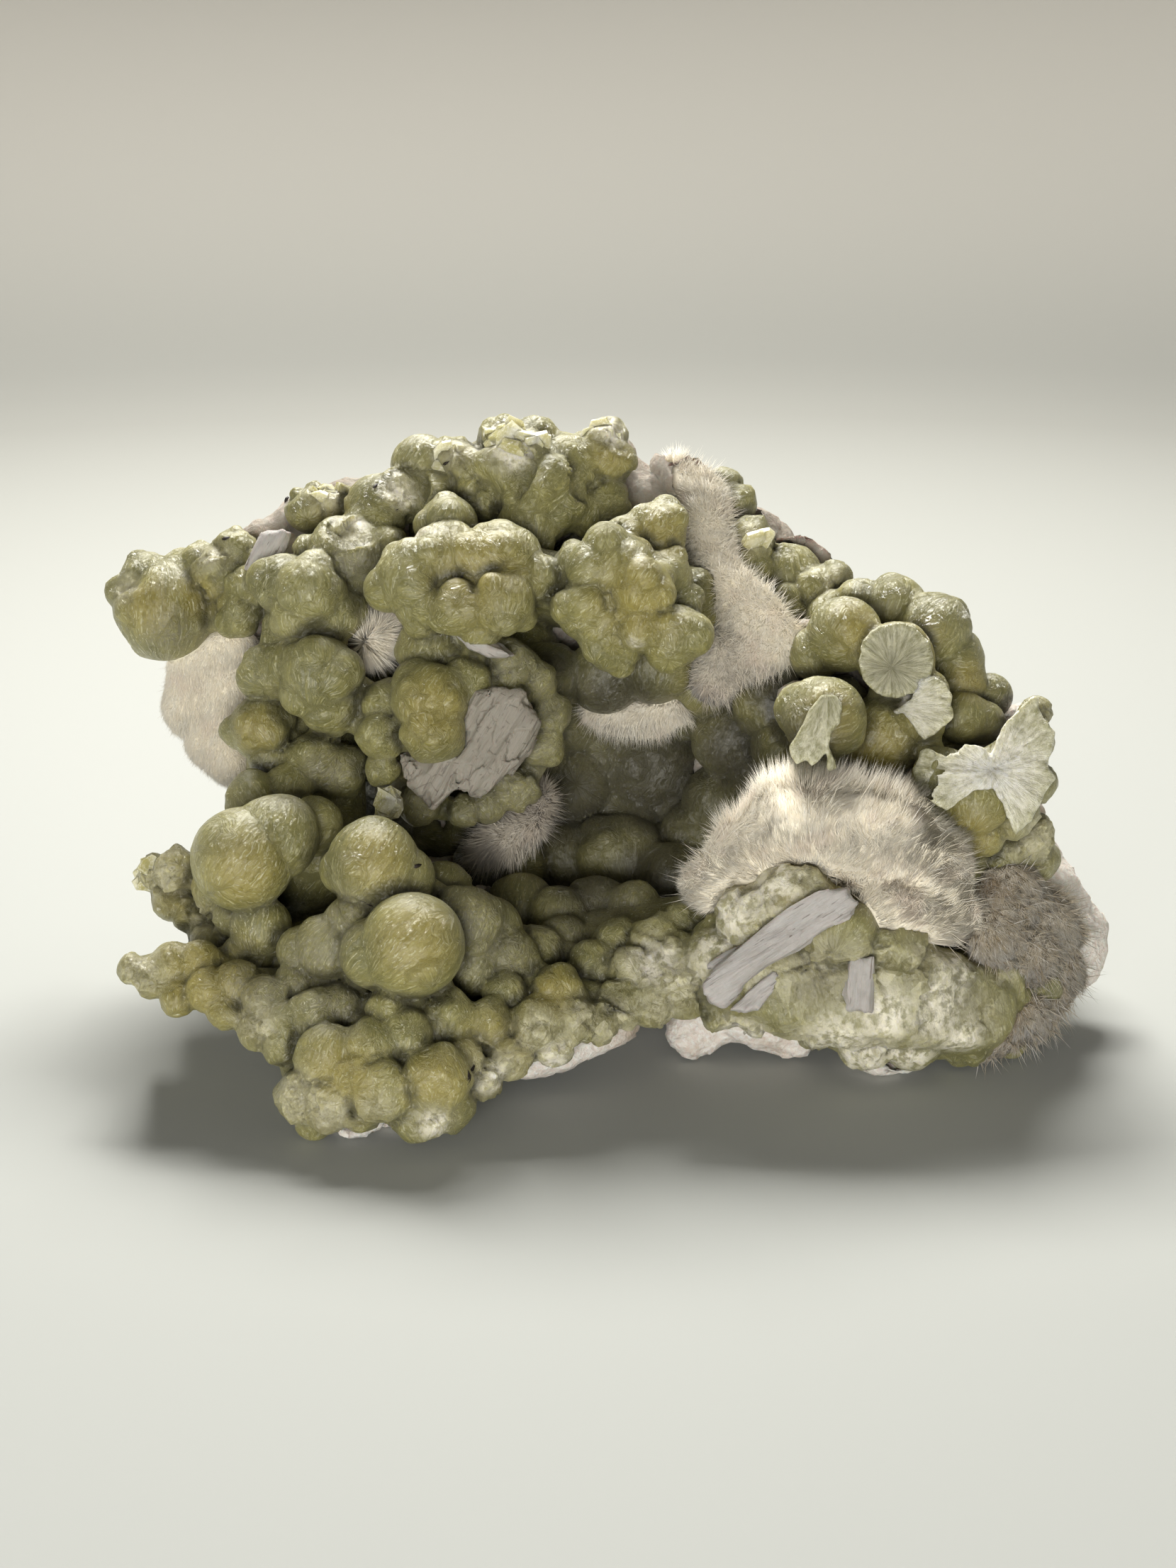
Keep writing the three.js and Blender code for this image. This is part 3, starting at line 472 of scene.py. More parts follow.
# How each tuft's fibres grow: how many, how long they stand over the heart in millimetres, the share and
# length of the longest ones, how wide they are, the way they are combed on the display plane and, where
# they fan out, from where, how straggly and how clumped they are, how flat they lie, how much the crest
# stands up, the number of clumps, how lumpy the heart is, and how far the fibres drift together.
PILES = {
    "okenite_front_puff": {
        "fibres": 34000, "pile": 2.1, "long": 0.02, "longest": 3.6, "width": 0.1,
        "comb": [0, 0, -0.2], "from": [27, -17, -15], "stray": 0.22, "clump": 0.4, "lie": 0.1, "crest": 1,
        "clumps": 1500,
    },
    "okenite_right_puff": {
        "fibres": 30000, "pile": 1.6, "long": 0.03, "longest": 3.4, "width": 0.13,
        "comb": [0.5, -0.9, -0.2], "stray": 0.65, "clump": 0.6, "lie": 0.16, "crest": 0.3, "clumps": 700,
    },
    "okenite_upper_band": {
        "fibres": 30000, "pile": 1.5, "long": 0.08, "longest": 2.8, "width": 0.09,
        "comb": [0.1, -0.6, -0.2], "stray": 0.5, "clump": 0.45, "lie": 0.25, "crest": 0.5, "clumps": 900,
    },
    "okenite_ledge_fringe": {
        "fibres": 16000, "pile": 1.3, "long": 0.1, "longest": 2.6, "width": 0.09,
        "comb": [0.05, -1.3, -0.2], "stray": 0.4, "clump": 0.4, "lie": 0.3, "crest": 0, "clumps": 300,
    },
    "okenite_left_drape": {
        "fibres": 28000, "pile": 1.0, "long": 0.01, "longest": 1.4, "width": 0.08,
        "comb": [-0.1, -0.8, 0], "stray": 0.25, "clump": 0.05, "lie": 0.3, "crest": 0, "clumps": 700,
        "lumps": 0.12, "drift": 0.25,
    },
    "okenite_small_tuft": {
        "fibres": 8000, "pile": 3.4, "long": 0.3, "longest": 5.0, "width": 0.1, "comb": [0.2, 0, -0.5],
        "from": [-29.5, 16.4, -3], "stray": 0.3, "clump": 0.7, "lie": 0.35, "crest": 0, "clumps": 70,
    },
    "okenite_vug_tuft": {
        "fibres": 12000, "pile": 1.7, "long": 0.1, "longest": 3.2, "width": 0.11,
        "comb": [-0.5, -0.9, -0.1], "stray": 0.35, "clump": 0.4, "lie": 0.4, "crest": 0, "clumps": 260,
    },
}

# Okenite by slot: clean fibre is cream to white, and pinkish where it lies flat; weathered fibre is matted
# tan with brown dirt. Each is its name and the colours of the root, the tip, another tip and the stain.
FIBRE_COLOURS = {
    "okenite": ("okenite fibre, cream", "#FBF2DC", "#FDF6E4", "#FCF1DA", "#F4E2CF"),
    "okenite_tan": ("okenite fibre, weathered tan", "#98896E", "#C4BAA6", "#AC9E86", "#826D50"),
}

# The laths and plates of laumontite: an outline on the display plane, how far back the rear face is, the
# thickness towards the viewer, the way the grain runs in degrees, and how blocky the cracks are, which also
# sets how much painted shade darkens it.
LATHS = {
    "laumontite_front_lath": {
        "outline": [
            [13.9, -24.3], [14.9, -21.9], [18.7, -18.8], [23.4, -15.5], [27.5, -13.1], [31.2, -12.4],
            [32.6, -14.3], [31.7, -16.5], [28.5, -18], [25.5, -20.3], [21.7, -22], [19, -24], [16.4, -26.6],
            [14.8, -26.2],
        ],
        "back": -22.4, "thickness": 3, "grain": 33, "blocky_and_shaded": 0.1,
    },
    "laumontite_small_lath": {
        "outline": [
            [17.3, -27.2], [20.5, -27.2], [23.6, -23.2], [22.3, -22.8], [20.4, -24.4],
        ],
        "back": -20.4, "thickness": 2.6, "grain": 40, "blocky_and_shaded": 0.1,
    },
    "laumontite_low_lath": {
        "outline": [
            [31.7, -20.5], [34.5, -20.8], [34.6, -24.5], [34.2, -27.5], [31, -27.3], [30.8, -25.2],
        ],
        "back": -20.6, "thickness": 3, "grain": 84, "blocky_and_shaded": 0.2,
    },
    "laumontite_middle_plate": {
        "outline": [
            [-14, 12], [-8.5, 11], [-6, 7.5], [-7, 4], [-10, 1], [-13, -1.8], [-16, -0.5], [-18.5, -3.2],
            [-21.5, 0], [-22.5, 3.5], [-19, 2.2], [-15.5, 4.5], [-15, 8],
        ],
        "back": -7, "thickness": 5, "grain": 60, "blocky_and_shaded": 1,
    },
    "laumontite_middle_shard": {
        "outline": [
            [-16, 18.2], [-13, 18], [-10.3, 16.6], [-9, 15.5], [-12, 15], [-14.5, 16.2],
        ],
        "back": -10, "thickness": 3, "grain": -20, "blocky_and_shaded": 0.4,
    },
    "laumontite_upper_sprig": {
        "outline": [
            [-41.2, 26], [-39, 30], [-37, 30.8], [-35.6, 30.4], [-36.5, 27.5], [-38, 26], [-39.2, 27.2],
            [-40.5, 25.4],
        ],
        "back": 0, "thickness": 3, "grain": 62, "blocky_and_shaded": 0.1,
    },
}

# Broken faces of prehnite whose fibres fan out of a hub: an outline on the display plane, the hub, how far
# back the face is, how it leans back to the right, its thickness, its lightness, and the hub's chalkiness.
FANS = {
    "crown": {
        "outline": [
            [39.1, 1.8], [39.9, 3.9], [40.9, 4.4], [43.2, 3.5], [45.3, 5.1], [47.4, 4.7], [48.4, 4],
            [49.6, 6.8], [51.4, 9], [53.2, 11], [54.5, 10.8], [54.7, 9.4], [55.5, 7.4], [56.6, 6.4],
            [56, 3.9], [55.8, 2], [56.7, 0.6], [55.5, -0.6], [54.3, -2.9], [53.4, -5], [51.2, -6.9],
            [49.7, -2.4], [48.6, -0.8], [46.5, -1.1], [44.4, -2.8], [43.3, -3.7], [41.3, -2.4],
            [39.8, -1.2],
        ],
        "hub": [48.6, 1.6], "front": -18.3, "lean": 0.28, "thickness": 4.6,
        "light": 1, "chalk": 1,
    },
    "shard": {
        "outline": [
            [39.7, 13.1], [41.6, 13.2], [43, 12.4], [44.2, 10.8], [44.2, 8], [42, 5.9], [40.4, 5], [39, 7],
            [37.8, 8.4], [35.7, 7.8], [36.7, 9.1], [38.8, 10.4], [39.3, 12.4],
        ],
        "hub": [37, 9.2], "front": -13.8, "lean": 0, "thickness": 4,
        "light": 0.9, "chalk": 0.6,
    },
    "disc": {
        "outline": [
            [37.1 + 4.9 * math.cos(i * 0.524), 14.9 + 4.9 * math.sin(i * 0.524)] for i in range(12)
        ],
        "hub": [36.6, 14], "front": -14, "lean": 0.05, "thickness": 3,
        "light": 0.3, "chalk": 0.12,
    },
    "petals": {
        "outline": [
            [28, 11], [30.1, 11], [30.9, 9.6], [30.6, 7.3], [29.6, 6.1], [29.3, 4.5], [30.1, 2.8],
            [30.3, 1.7], [29.1, 1.2], [28.5, 1.7], [28.6, 3.4], [27.9, 2.5], [26.9, 1.9], [26.2, 2.6],
            [25, 2], [24.2, 3.3], [24, 4.5], [24.9, 6.1], [25.7, 7.5], [26.4, 9.1],
        ],
        "hub": [29, 11.6], "front": -19.9, "lean": -0.05, "thickness": 3,
        "light": 0.6, "chalk": 0,
    },
}

CORNERS = np.array(list(np.ndindex(2, 2, 2)))
EDGES = [(a, b) for a in range(8) for b in range(a + 1, 8) if abs(CORNERS[a] - CORNERS[b]).sum() == 1]


def unit(vectors):
    length = np.linalg.norm(vectors, axis=-1, keepdims=True)
    return vectors / np.maximum(length, 1e-9)


def place(spots):
    """The points of spots [across, up, back] in the specimen's frame."""
    across, up, back = np.moveaxis(np.asarray(spots, float), -1, 0)
    spread = 1 + back / VIEW_DISTANCE
    rise = up * spread
    y = back * math.cos(VIEW_TILT) + rise * math.sin(VIEW_TILT)
    z = MIDDLE_HEIGHT + rise * math.cos(VIEW_TILT) - back * math.sin(VIEW_TILT)
    return np.stack((across * spread, y, z), -1) - BOX_MIDDLE


def spots_of(points):
    """The spots [across, up, back] of points in the specimen's frame."""
    x, y, z = np.moveaxis(points + BOX_MIDDLE, -1, 0)
    z = z - MIDDLE_HEIGHT
    back = y * math.cos(VIEW_TILT) - z * math.sin(VIEW_TILT)
    rise = y * math.sin(VIEW_TILT) + z * math.cos(VIEW_TILT)
    spread = 1 + back / VIEW_DISTANCE
    return np.stack((x / spread, rise / spread, back), -1)


def turned(leans):
    """Unit directions in the specimen's frame of directions [across, up, back] on the display plane."""
    across, up, back = np.moveaxis(np.asarray(leans, float), -1, 0)
    y = back * math.cos(VIEW_TILT) + up * math.sin(VIEW_TILT)
    z = up * math.cos(VIEW_TILT) - back * math.sin(VIEW_TILT)
    return unit(np.stack((across, y, z), -1))


TO_VIEWER = turned([0, 0, -1])


def balls(rows):
    """The middles and radii in the specimen's frame of rows [across, up, back, radius]."""
    rows = np.asarray(rows, float)
    return place(rows[:, :3]), rows[:, 3] * (1 + rows[:, 2] / VIEW_DISTANCE)


def box_around(outline, front, back):
    """The corners, as spots, of a box that stands a millimetre clear of an outline."""
    outline = np.array(outline)
    return [*(outline.min(0) - 1), front], [*(outline.max(0) + 1), back]


def squeezed(points):
    """Points with what stands out of the specimen's box eased back to its sides."""
    over = np.maximum(points - HIGH, 0)
    under = np.maximum(LOW - points, 0)
    eased = np.clip(points, LOW, HIGH) + PROUD * (np.tanh(over / PROUD) - np.tanh(under / PROUD))
    eased[:, 2] = np.maximum(eased[:, 2], 0)
    return eased


def shuffled(cells, seed):
    """A fixed random number from -1 to 1 for each whole-numbered cell."""
    x, y, z = np.moveaxis(cells, -1, 0)
    mixed = (x * 73856093) ^ (y * 19349663) ^ (z * 83492791) ^ (seed * 2654435761)
    mixed = ((mixed ^ (mixed >> 15)) * 2246822519) & 0xFFFFFFFF
    mixed = ((mixed ^ (mixed >> 13)) * 3266489917) & 0xFFFFFFFF
    return ((mixed ^ (mixed >> 16)) & 0xFFFF) / 32767.5 - 1


def grain(points, size, seed):
    """Smooth random heights from -1 to 1, with bumps about size millimetres across."""
    cells = points / size
    low = np.floor(cells).astype(np.int64)
    part = cells - low
    part = part * part * (3 - 2 * part)
    total = np.zeros(len(points))
    for corner in CORNERS:
        total += np.where(corner, part, 1 - part).prod(-1) * shuffled(low + corner, seed)
    return total


def rough(points, size, seed, layers=3):
    """Layers of ever finer grain."""
    return sum(0.5**i * grain(points, size * 0.5**i, seed + i) for i in range(layers))


def seats_around(points, size, seed):
    """The cells around each point, and where the point lies from the random seat in each."""
    spots = points / size
    cells = np.floor(spots).astype(np.int64)
    for step in np.ndindex(3, 3, 3):
        cell = cells + np.array(step) - 1
        seat = np.stack([shuffled(cell, seed + i) for i in range(3)], -1)
        yield cell, spots - (cell + 0.5 + 0.4 * seat)


def facets(points, size, seed):
    """Heights of flat tilted facets about size millimetres across, as on broken crystal."""
    nearest = np.full(len(points), np.inf)
    height = np.zeros(len(points))
    for cell, away in seats_around(points, size, seed):
        tilt = np.stack([shuffled(cell, seed + 3 + i) for i in range(3)], -1)
        gap = (away**2).sum(-1)
        height = np.where(gap < nearest, (away * tilt).sum(-1), height)
        nearest = np.minimum(gap, nearest)
    return height


def pebbles(points, size, seed):
    """Heights of small rounded swellings about size millimetres across."""
    nearest = np.full(len(points), np.inf)
    for _, away in seats_around(points, size, seed):
        nearest = np.minimum(nearest, (away**2).sum(-1))
    return 0.4 - nearest


def lesser(a, b, blend):
    """The lesser of two distances, rounded over blend millimetres where they meet."""
    if blend == 0:
        return np.minimum(a, b)
    share = np.clip(0.5 + (a - b) / (2 * blend), 0, 1)
    return a + (b - a) * share - blend * share * (1 - share)


class Field:
    """Distances in millimetres on a grid, below 0 inside a stone, and the lobe's number at each spot."""

    def __init__(self, low, high, step):
        self.low = np.array(low, float)
        self.step = step
        size = np.ceil((np.array(high) - self.low) / step).astype(int) + 1
        self.value = np.full(size, FAR, np.float32)
        self.owner = np.zeros(size, np.int32)
        self.axes = [self.low[i] + step * np.arange(size[i]) for i in range(3)]

    def near(self, low, high):
        """The part of the grid inside a box, and the coordinates there."""
        first = np.maximum(np.floor((low - self.low) / self.step).astype(int), 0)
        last = np.minimum(np.ceil((high - self.low) / self.step).astype(int) + 1, self.value.shape)
        part = tuple(slice(a, max(a, b)) for a, b in zip(first, last))
        x, y, z = (axis[run] for axis, run in zip(self.axes, part))
        return part, x[:, None, None], y[None, :, None], z[None, None, :]

    def link(self, start, end, start_radius, end_radius, blend=0.0, owner=None, cuts=(), stretch=(1, 1, 1)):
        """Joins the link between two balls. Each cut, (direction, distance), keeps only what lies below
        that distance from the start, and stretch makes the balls longer along some axes."""
        stretch = np.array(stretch)
        reach = max(start_radius, end_radius) * stretch + blend + SKIN
        part, x, y, z = self.near(np.minimum(start, end) - reach, np.maximum(start, end) + reach)
        run = (end - start) / stretch
        x, y, z = ((axis - start[i]) / stretch[i] for i, axis in enumerate((x, y, z)))
        along = np.clip((x * run[0] + y * run[1] + z * run[2]) / max(run @ run, 1e-9), 0, 1)
        away = np.sqrt((x - along * run[0]) ** 2 + (y - along * run[1]) ** 2 + (z - along * run[2]) ** 2)
        distance = (away - start_radius - along * (end_radius - start_radius)) * stretch.min()
        for across, limit in cuts:
            distance = np.maximum(distance, x * across[0] + y * across[1] + z * across[2] - limit)
        old = self.value[part]
        if owner is not None:
            self.owner[part] = np.where(distance < old, owner, self.owner[part])
        self.value[part] = lesser(old, distance, blend)

    def chip(self, middle, outward, reach):
        """Breaks off what lies outside the plane through a point, within reach of it."""
        part, x, y, z = self.near(middle - reach, middle + reach)
        x, y, z = x - middle[0], y - middle[1], z - middle[2]
        beyond = x * outward[0] + y * outward[1] + z * outward[2]
        within = reach - np.sqrt(x**2 + y**2 + z**2)
        self.value[part] = np.maximum(self.value[part], np.minimum(beyond, within))

    def clear(self, other, gap):
        """Cuts away what lies inside another stone or closer to it than the gap."""
        self.value = np.maximum(self.value, gap - other.value)

    def at(self, points):
        """The distances at points, evened out between the grid's own, and growing outside the grid."""
        cells = (points - self.low) / self.step
        low = np.clip(np.floor(cells).astype(int), 0, np.array(self.value.shape) - 2)
        part = np.clip(cells - low, 0, 1)
        total = np.sqrt(((cells - low - part) ** 2).sum(-1)) * self.step
        for corner in CORNERS:
            total += np.where(corner, part, 1 - part).prod(-1) * self.value[tuple((low + corner).T)]
        return total

    def owner_at(self, points):
        cells = np.rint((points - self.low) / self.step).astype(int)
        return self.owner[tuple(np.clip(cells, 0, np.array(self.value.shape) - 1).T)]

    def outward(self, points):
        """The directions straight out of the stone at points."""
        steps = np.eye(3) * self.step
        return unit(np.stack([self.at(points + step) - self.at(points - step) for step in steps], -1))

    def surface(self):
        """The points and four-cornered faces where the distance is 0."""
        inside = self.value < 0
        shape = np.array(inside.shape) - 1
        count = np.zeros(shape, np.int8)
        for corner in CORNERS:
            count += inside[tuple(slice(c, c + n) for c, n in zip(corner, shape))]
        crossed = (count > 0) & (count < 8)
        cells = np.argwhere(crossed)
        number = np.full(crossed.shape, -1)
        number[crossed] = np.arange(len(cells))
        value = self.value[tuple((cells[:, None] + CORNERS).transpose(2, 0, 1))]
        total = np.zeros((len(cells), 3))
        hits = np.zeros((len(cells), 1))
        for a, b in EDGES:
            crosses = ((value[:, a] < 0) != (value[:, b] < 0))[:, None]
            share = value[:, a] / np.where(value[:, a] == value[:, b], 1, value[:, a] - value[:, b])
            total += crosses * (CORNERS[a] + share[:, None] * (CORNERS[b] - CORNERS[a]))
            hits += crosses
        faces = [self.faces_along(axis, inside, number) for axis in range(3)]
        return self.low + self.step * (cells + total / hits), np.concatenate(faces)

    def faces_along(self, axis, inside, number):
        """The faces across the grid's edges along one axis, turned outward."""
        length = inside.shape[axis]
        starts = np.take(inside, range(length - 1), axis)
        ends = np.take(inside, range(1, length), axis)
        spots = np.argwhere(starts != ends)
        side, other = (axis + 1) % 3, (axis + 2) % 3
        limits = np.array(inside.shape) - 1
        kept = [(spots[:, i] > 0) & (spots[:, i] < limits[i]) for i in (side, other)]
        spots = spots[kept[0] & kept[1]]
        back = np.eye(3, dtype=int)
        ring = [spots, spots - back[side], spots - back[side] - back[other], spots - back[other]]
        faces = np.stack([number[tuple(spot.T)] for spot in ring], -1)
        outward = starts[tuple(spots.T)]
        return np.where(outward[:, None], faces, faces[:, ::-1])


def stone_field():
    """An empty grid around the whole specimen."""
    return Field(LOW - GRID_MARGIN, HIGH + GRID_MARGIN, STONE_STEP)


def join_links(field, middles, radii, **settings):
    """Joins the links from each ball to the next."""
    for i in range(len(middles) - 1):
        field.link(middles[i], middles[i + 1], radii[i], radii[i + 1], **settings)


def seen_at(across, up, *fields):
    """Where the line of sight through a spot on the display plane first meets a stone."""
    points = place([[across, up, back] for back in SIGHT_LINE])
    met = np.min([field.at(points) for field in fields], 0) < 0
    return points[np.argmax(met)] if met.any() else place([across, up, 0])


def zone(points, rows, field):
    """How much each point lies in a zone, from 0 to 1."""
    share = np.zeros(len(points))
    for across, up, reach in rows:
        away = np.linalg.norm(points - seen_at(across, up, field), axis=1)
        share = np.maximum(share, np.clip(1.5 * (1 - away / reach), 0, 1))
    return share


def openness(points, outward, *fields):
    """How free the air over each point is, from 0 in a crease to 1."""
    total = 0
    sunk = np.minimum([field.at(points) for field in fields], 0).min(0)
    for reach in AIR_REACHES:
        free = np.min([field.at(points + outward * reach) for field in fields], 0) - sunk
        total = total + 0.5 * np.clip(free / reach, 0, 1)
    return total


def outline_distance(across, up, outline):
    """The distance to a closed outline, below 0 inside it."""
    nearest = np.inf
    inside = False
    for (x0, y0), (x1, y1) in zip(outline, outline[1:] + outline[:1]):
        x, y = across - x0, up - y0
        run, rise = x1 - x0, y1 - y0
        along = np.clip((x * run + y * rise) / (run**2 + rise**2), 0, 1)
        nearest = np.minimum(nearest, (x - along * run) ** 2 + (y - along * rise) ** 2)
        if rise != 0:
            inside = inside ^ (((y0 > up) != (y1 > up)) & (x < y * run / rise))
    return np.where(inside, -1, 1) * np.sqrt(nearest)


def lath_box(lath):
    return box_around(lath["outline"], lath["back"] - lath["thickness"] - 1, lath["back"] + 1)


def lath_distance(spots, lath):
    """The distance to a lath from spots on the display plane."""
    across, up, back = np.moveaxis(spots, -1, 0)
    middle = lath["back"] - lath["thickness"] / 2
    beside = outline_distance(across, up, lath["outline"])
    return -lesser(-beside, lath["thickness"] / 2 - abs(back - middle), 0.5 + lath["blocky_and_shaded"])


def guest_field():
    """The room that tufts and laths take in the stones."""
    field = stone_field()
    for name, rows in TUFTS.items():
        middles, radii = balls(rows)
        join_links(field, middles, radii - 0.5 * PILES[name]["pile"])
    for lath in LATHS.values():
        low, high = (place(corner) for corner in lath_box(lath))
        part, x, y, z = field.near(np.minimum(low, high) - 4, np.maximum(low, high) + 4)
        points = np.stack(np.broadcast_arrays(x, y, z), -1)
        field.value[part] = np.minimum(field.value[part], lath_distance(spots_of(points), lath) + LATH_SEAT)
    return field


def host_field():
    """The host rock: blunt blocks, the rind, and the rock that takes in the hearts of the lobes behind."""
    field = stone_field()
    for rows in BLOCKS.values():
        rows = np.array(rows, float)
        sizes = rows[:, 3:].mean(1)
        stretch = (rows[:, 3:] / sizes[:, None]).mean(0)
        middles = rows[:, :3] - BOX_MIDDLE
        if len(rows) == 1:
            middles, sizes = np.repeat(middles, 2, 0), np.repeat(sizes, 2)
        join_links(field, middles, sizes, blend=BLOCK_BLEND, stretch=stretch)
    for rows in RIND.values():
        join_links(field, *balls(rows), blend=RIND_BLEND)
    for cluster in BEDDED:
        for across, up, back, radius in LOBES[cluster]:
            across, up = across * CORE_TAPER, up * CORE_TAPER
            size = radius * CORE_FILL + BED_THICKNESS
            ends = place([[across, up, back + BED_DEPTH], [across, up, back + CORE_DEPTH]])
            join_links(field, ends, [size, size], blend=BED_BLEND)
    return field


def add_lobe(field, lobes, middle, radius, pole, blend, cuts=()):
    """Joins one ball of prehnite, whose fibres run from the pole over it."""
    lobes["middle"].append(middle)
    lobes["pole"].append(pole)
    field.link(middle, middle, radius, radius, blend, len(lobes["middle"]) - 1, cuts)


def spread(count, towards, rng):
    """Directions spread evenly and at random over the side of a ball that faces a way."""
    turns = rng.uniform(0, 2 * math.pi) + np.arange(count) * math.pi * (3 - math.sqrt(5))
    heights = 1 - 1.45 * (np.arange(count) + 0.5) / max(count, 1)
    side = unit(np.cross(towards, [0.2, 0.3, 0.9]))
    rings = np.sqrt(1 - heights**2)[:, None]
    ring = rings * (side * np.cos(turns)[:, None] + np.cross(towards, side) * np.sin(turns)[:, None])
    return unit(ring + heights[:, None] * towards + 0.22 * rng.normal(size=(count, 3)))


def broken_faces(count, radius, rng):
    """Random flat faces near the surface of a ball."""
    return [(unit(rng.normal(size=3)), radius * rng.uniform(0.62, 0.92)) for _ in range(count)]


def lobe_field(host):
    """The lobes of the prehnite as they are seen, and the middle and pole of each."""
    rng = np.random.default_rng(LOBE_SEED)
    field = stone_field()
    lobes = {"middle": [np.zeros(3)], "pole": [np.array([0.0, 0.0, 1.0])]}
    for cluster, rows in LOBES.items():
        knobbles, share, proud, _, faces, crumbs = HABITS[cluster]
        for middle, radius in zip(*balls(rows)):
            pole = unit(turned([0.3, 1, 0.3]) + 0.35 * rng.normal(size=3))
            add_lobe(field, lobes, middle, radius, pole, CREASE, broken_faces(faces, radius, rng))
            for out in spread(knobbles, TO_VIEWER, rng):
                size = radius * share * rng.uniform(0.75, 1.25)
                knob = middle + out * (radius - size * (1 - proud * rng.uniform(0.6, 1.8)))
                add_lobe(field, lobes, knob, size, unit(pole + 0.5 * rng.normal(size=3)), CREASE)
            for _ in range(crumbs):
                out = unit(rng.normal(size=3) + 0.5 * TO_VIEWER)
                size = rng.uniform(*CRUMB_RADIUS)
                crumb = middle + out * (radius * rng.uniform(0.85, 1.02) - size * 0.6)
                add_lobe(field, lobes, crumb, size, out, CRUMB_CREASE, broken_faces(CRUMB_FACES, size, rng))
    for across, up, radius in LINING:
        middle = seen_at(across, up, host) - TO_VIEWER * 0.5 * radius
        add_lobe(field, lobes, middle, radius, TO_VIEWER, CREASE)
    join_links(field, *balls(SLAB), blend=CREASE, owner=0)
    for *spot, reach, across, up, back in BREAKS:
        field.chip(place(spot), turned([across, up, back]), reach)
    return field, lobes


def add_crust(field):
    """Joins the crust behind the lobes: the backing, the lobes' hearts, and the joins between them."""
    for rows in BACKING.values():
        join_links(field, *balls(rows))
    rows = [row for rows in LOBES.values() for row in rows]
    middles, radii = balls(rows)
    for (across, up, back, _), middle, radius in zip(rows, middles, radii):
        deep = place([across * CORE_TAPER, up * CORE_TAPER, back + CORE_DEPTH])
        heart = radius * CORE_FILL
        field.link(middle, deep, heart, heart * CORE_END, CREASE)
    fills = np.array([HABITS[cluster][3] for cluster, rows in LOBES.items() for _ in rows])
    sunk = middles - TO_VIEWER * NEIGHBOUR_DEPTH
    for i in range(len(middles)):
        for j in range(i):
            gap = np.linalg.norm(middles[i] - middles[j]) - radii[i] - radii[j]
            if gap < NEIGHBOUR_GAP:
                fill = min(fills[i], fills[j]) * NEIGHBOUR_FILL
                field.link(sunk[i], sunk[j], fill * radii[i], fill * radii[j], CREASE)


def joined(parts):
    """The points and faces of several parts together."""
    starts = np.cumsum([0] + [len(points) for points, _ in parts])
    faces = [faces + start for (_, faces), start in zip(parts, starts)]
    return np.concatenate([points for points, _ in parts]), np.concatenate(faces)


def mesh_of(name, points, faces):
    """A mesh from points in millimetres and faces that all have as many corners."""
    mesh = bpy.data.meshes.new(name)
    mesh.vertices.add(len(points))
    mesh.vertices.foreach_set("co", np.ascontiguousarray(points * MM, np.float32).ravel())
    mesh.loops.add(faces.size)
    mesh.loops.foreach_set("vertex_index", np.ascontiguousarray(faces, np.int32).ravel())
    mesh.polygons.add(len(faces))
    mesh.polygons.foreach_set("loop_start", np.arange(0, faces.size, faces.shape[1], dtype=np.int32))
    mesh.update(calc_edges=True)
    mesh.validate()
    return mesh


def points_of(mesh):
    points = np.zeros(len(mesh.vertices) * 3, np.float32)
    mesh.vertices.foreach_get("co", points)
    return points.reshape(-1, 3).astype(float) / MM


def give(mesh, name, values):
    """Keeps a number or a vector for each point of a mesh."""
    values = np.asarray(values, np.float32)
    kind, key = ("FLOAT", "value") if values.ndim == 1 else ("FLOAT_VECTOR", "vector")
    mesh.attributes.new(name, kind, "POINT").data.foreach_set(key, values.ravel())


def shown(name, mesh):
    """An object in the scene."""
    made = bpy.data.objects.new(name, mesh)
    bpy.context.scene.collection.objects.link(made)
    return made


def loose_piece(name, mesh, material):
    """A piece of the specimen, with a finish."""
    made = shown(name, mesh)
    mesh.shade_smooth()
    mesh.materials.clear()
    mesh.materials.append(material)
    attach(made, "root")
    return made


def piece(name, mesh, material, node):
    """A piece that stands for a CAD node, with that node's finish."""
    made = loose_piece(name, mesh, material)
    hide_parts(node)


def thinned(name, mesh, triangles):
    """The mesh with about that many triangles, kept where it bends most."""
    made = shown(name, mesh)
    corners = len(mesh.loops) - 2 * len(mesh.polygons)
    made.modifiers.new("thin", "DECIMATE").ratio = min(1, triangles / corners)
    view = bpy.context.evaluated_depsgraph_get()
    result = bpy.data.meshes.new_from_object(made.evaluated_get(view))
    bpy.data.objects.remove(made)
    return result


def prehnite_relief(points, field):
    """How much the prehnite's surface stands up or down: in small swellings that a sugary skin covers, and
    in facets where it is broken."""
    pale = zone(points, PALE, field)
    swelling = 0.05 * pebbles(points, 2.6, 91) * np.clip(0.6 + 1.2 * grain(points, 9.0, 95), 0.1, 1)
    sugary = 0.03 * rough(points, 1.4, 11) + 0.04 * grain(points, 4.0, 15)
    broken = 0.9 * facets(points, 4.4, 25) + 0.4 * facets(points, 1.9, 21) + 0.14 * rough(points, 1.2, 31)
    return sugary + (1 - pale) * swelling + pale * broken


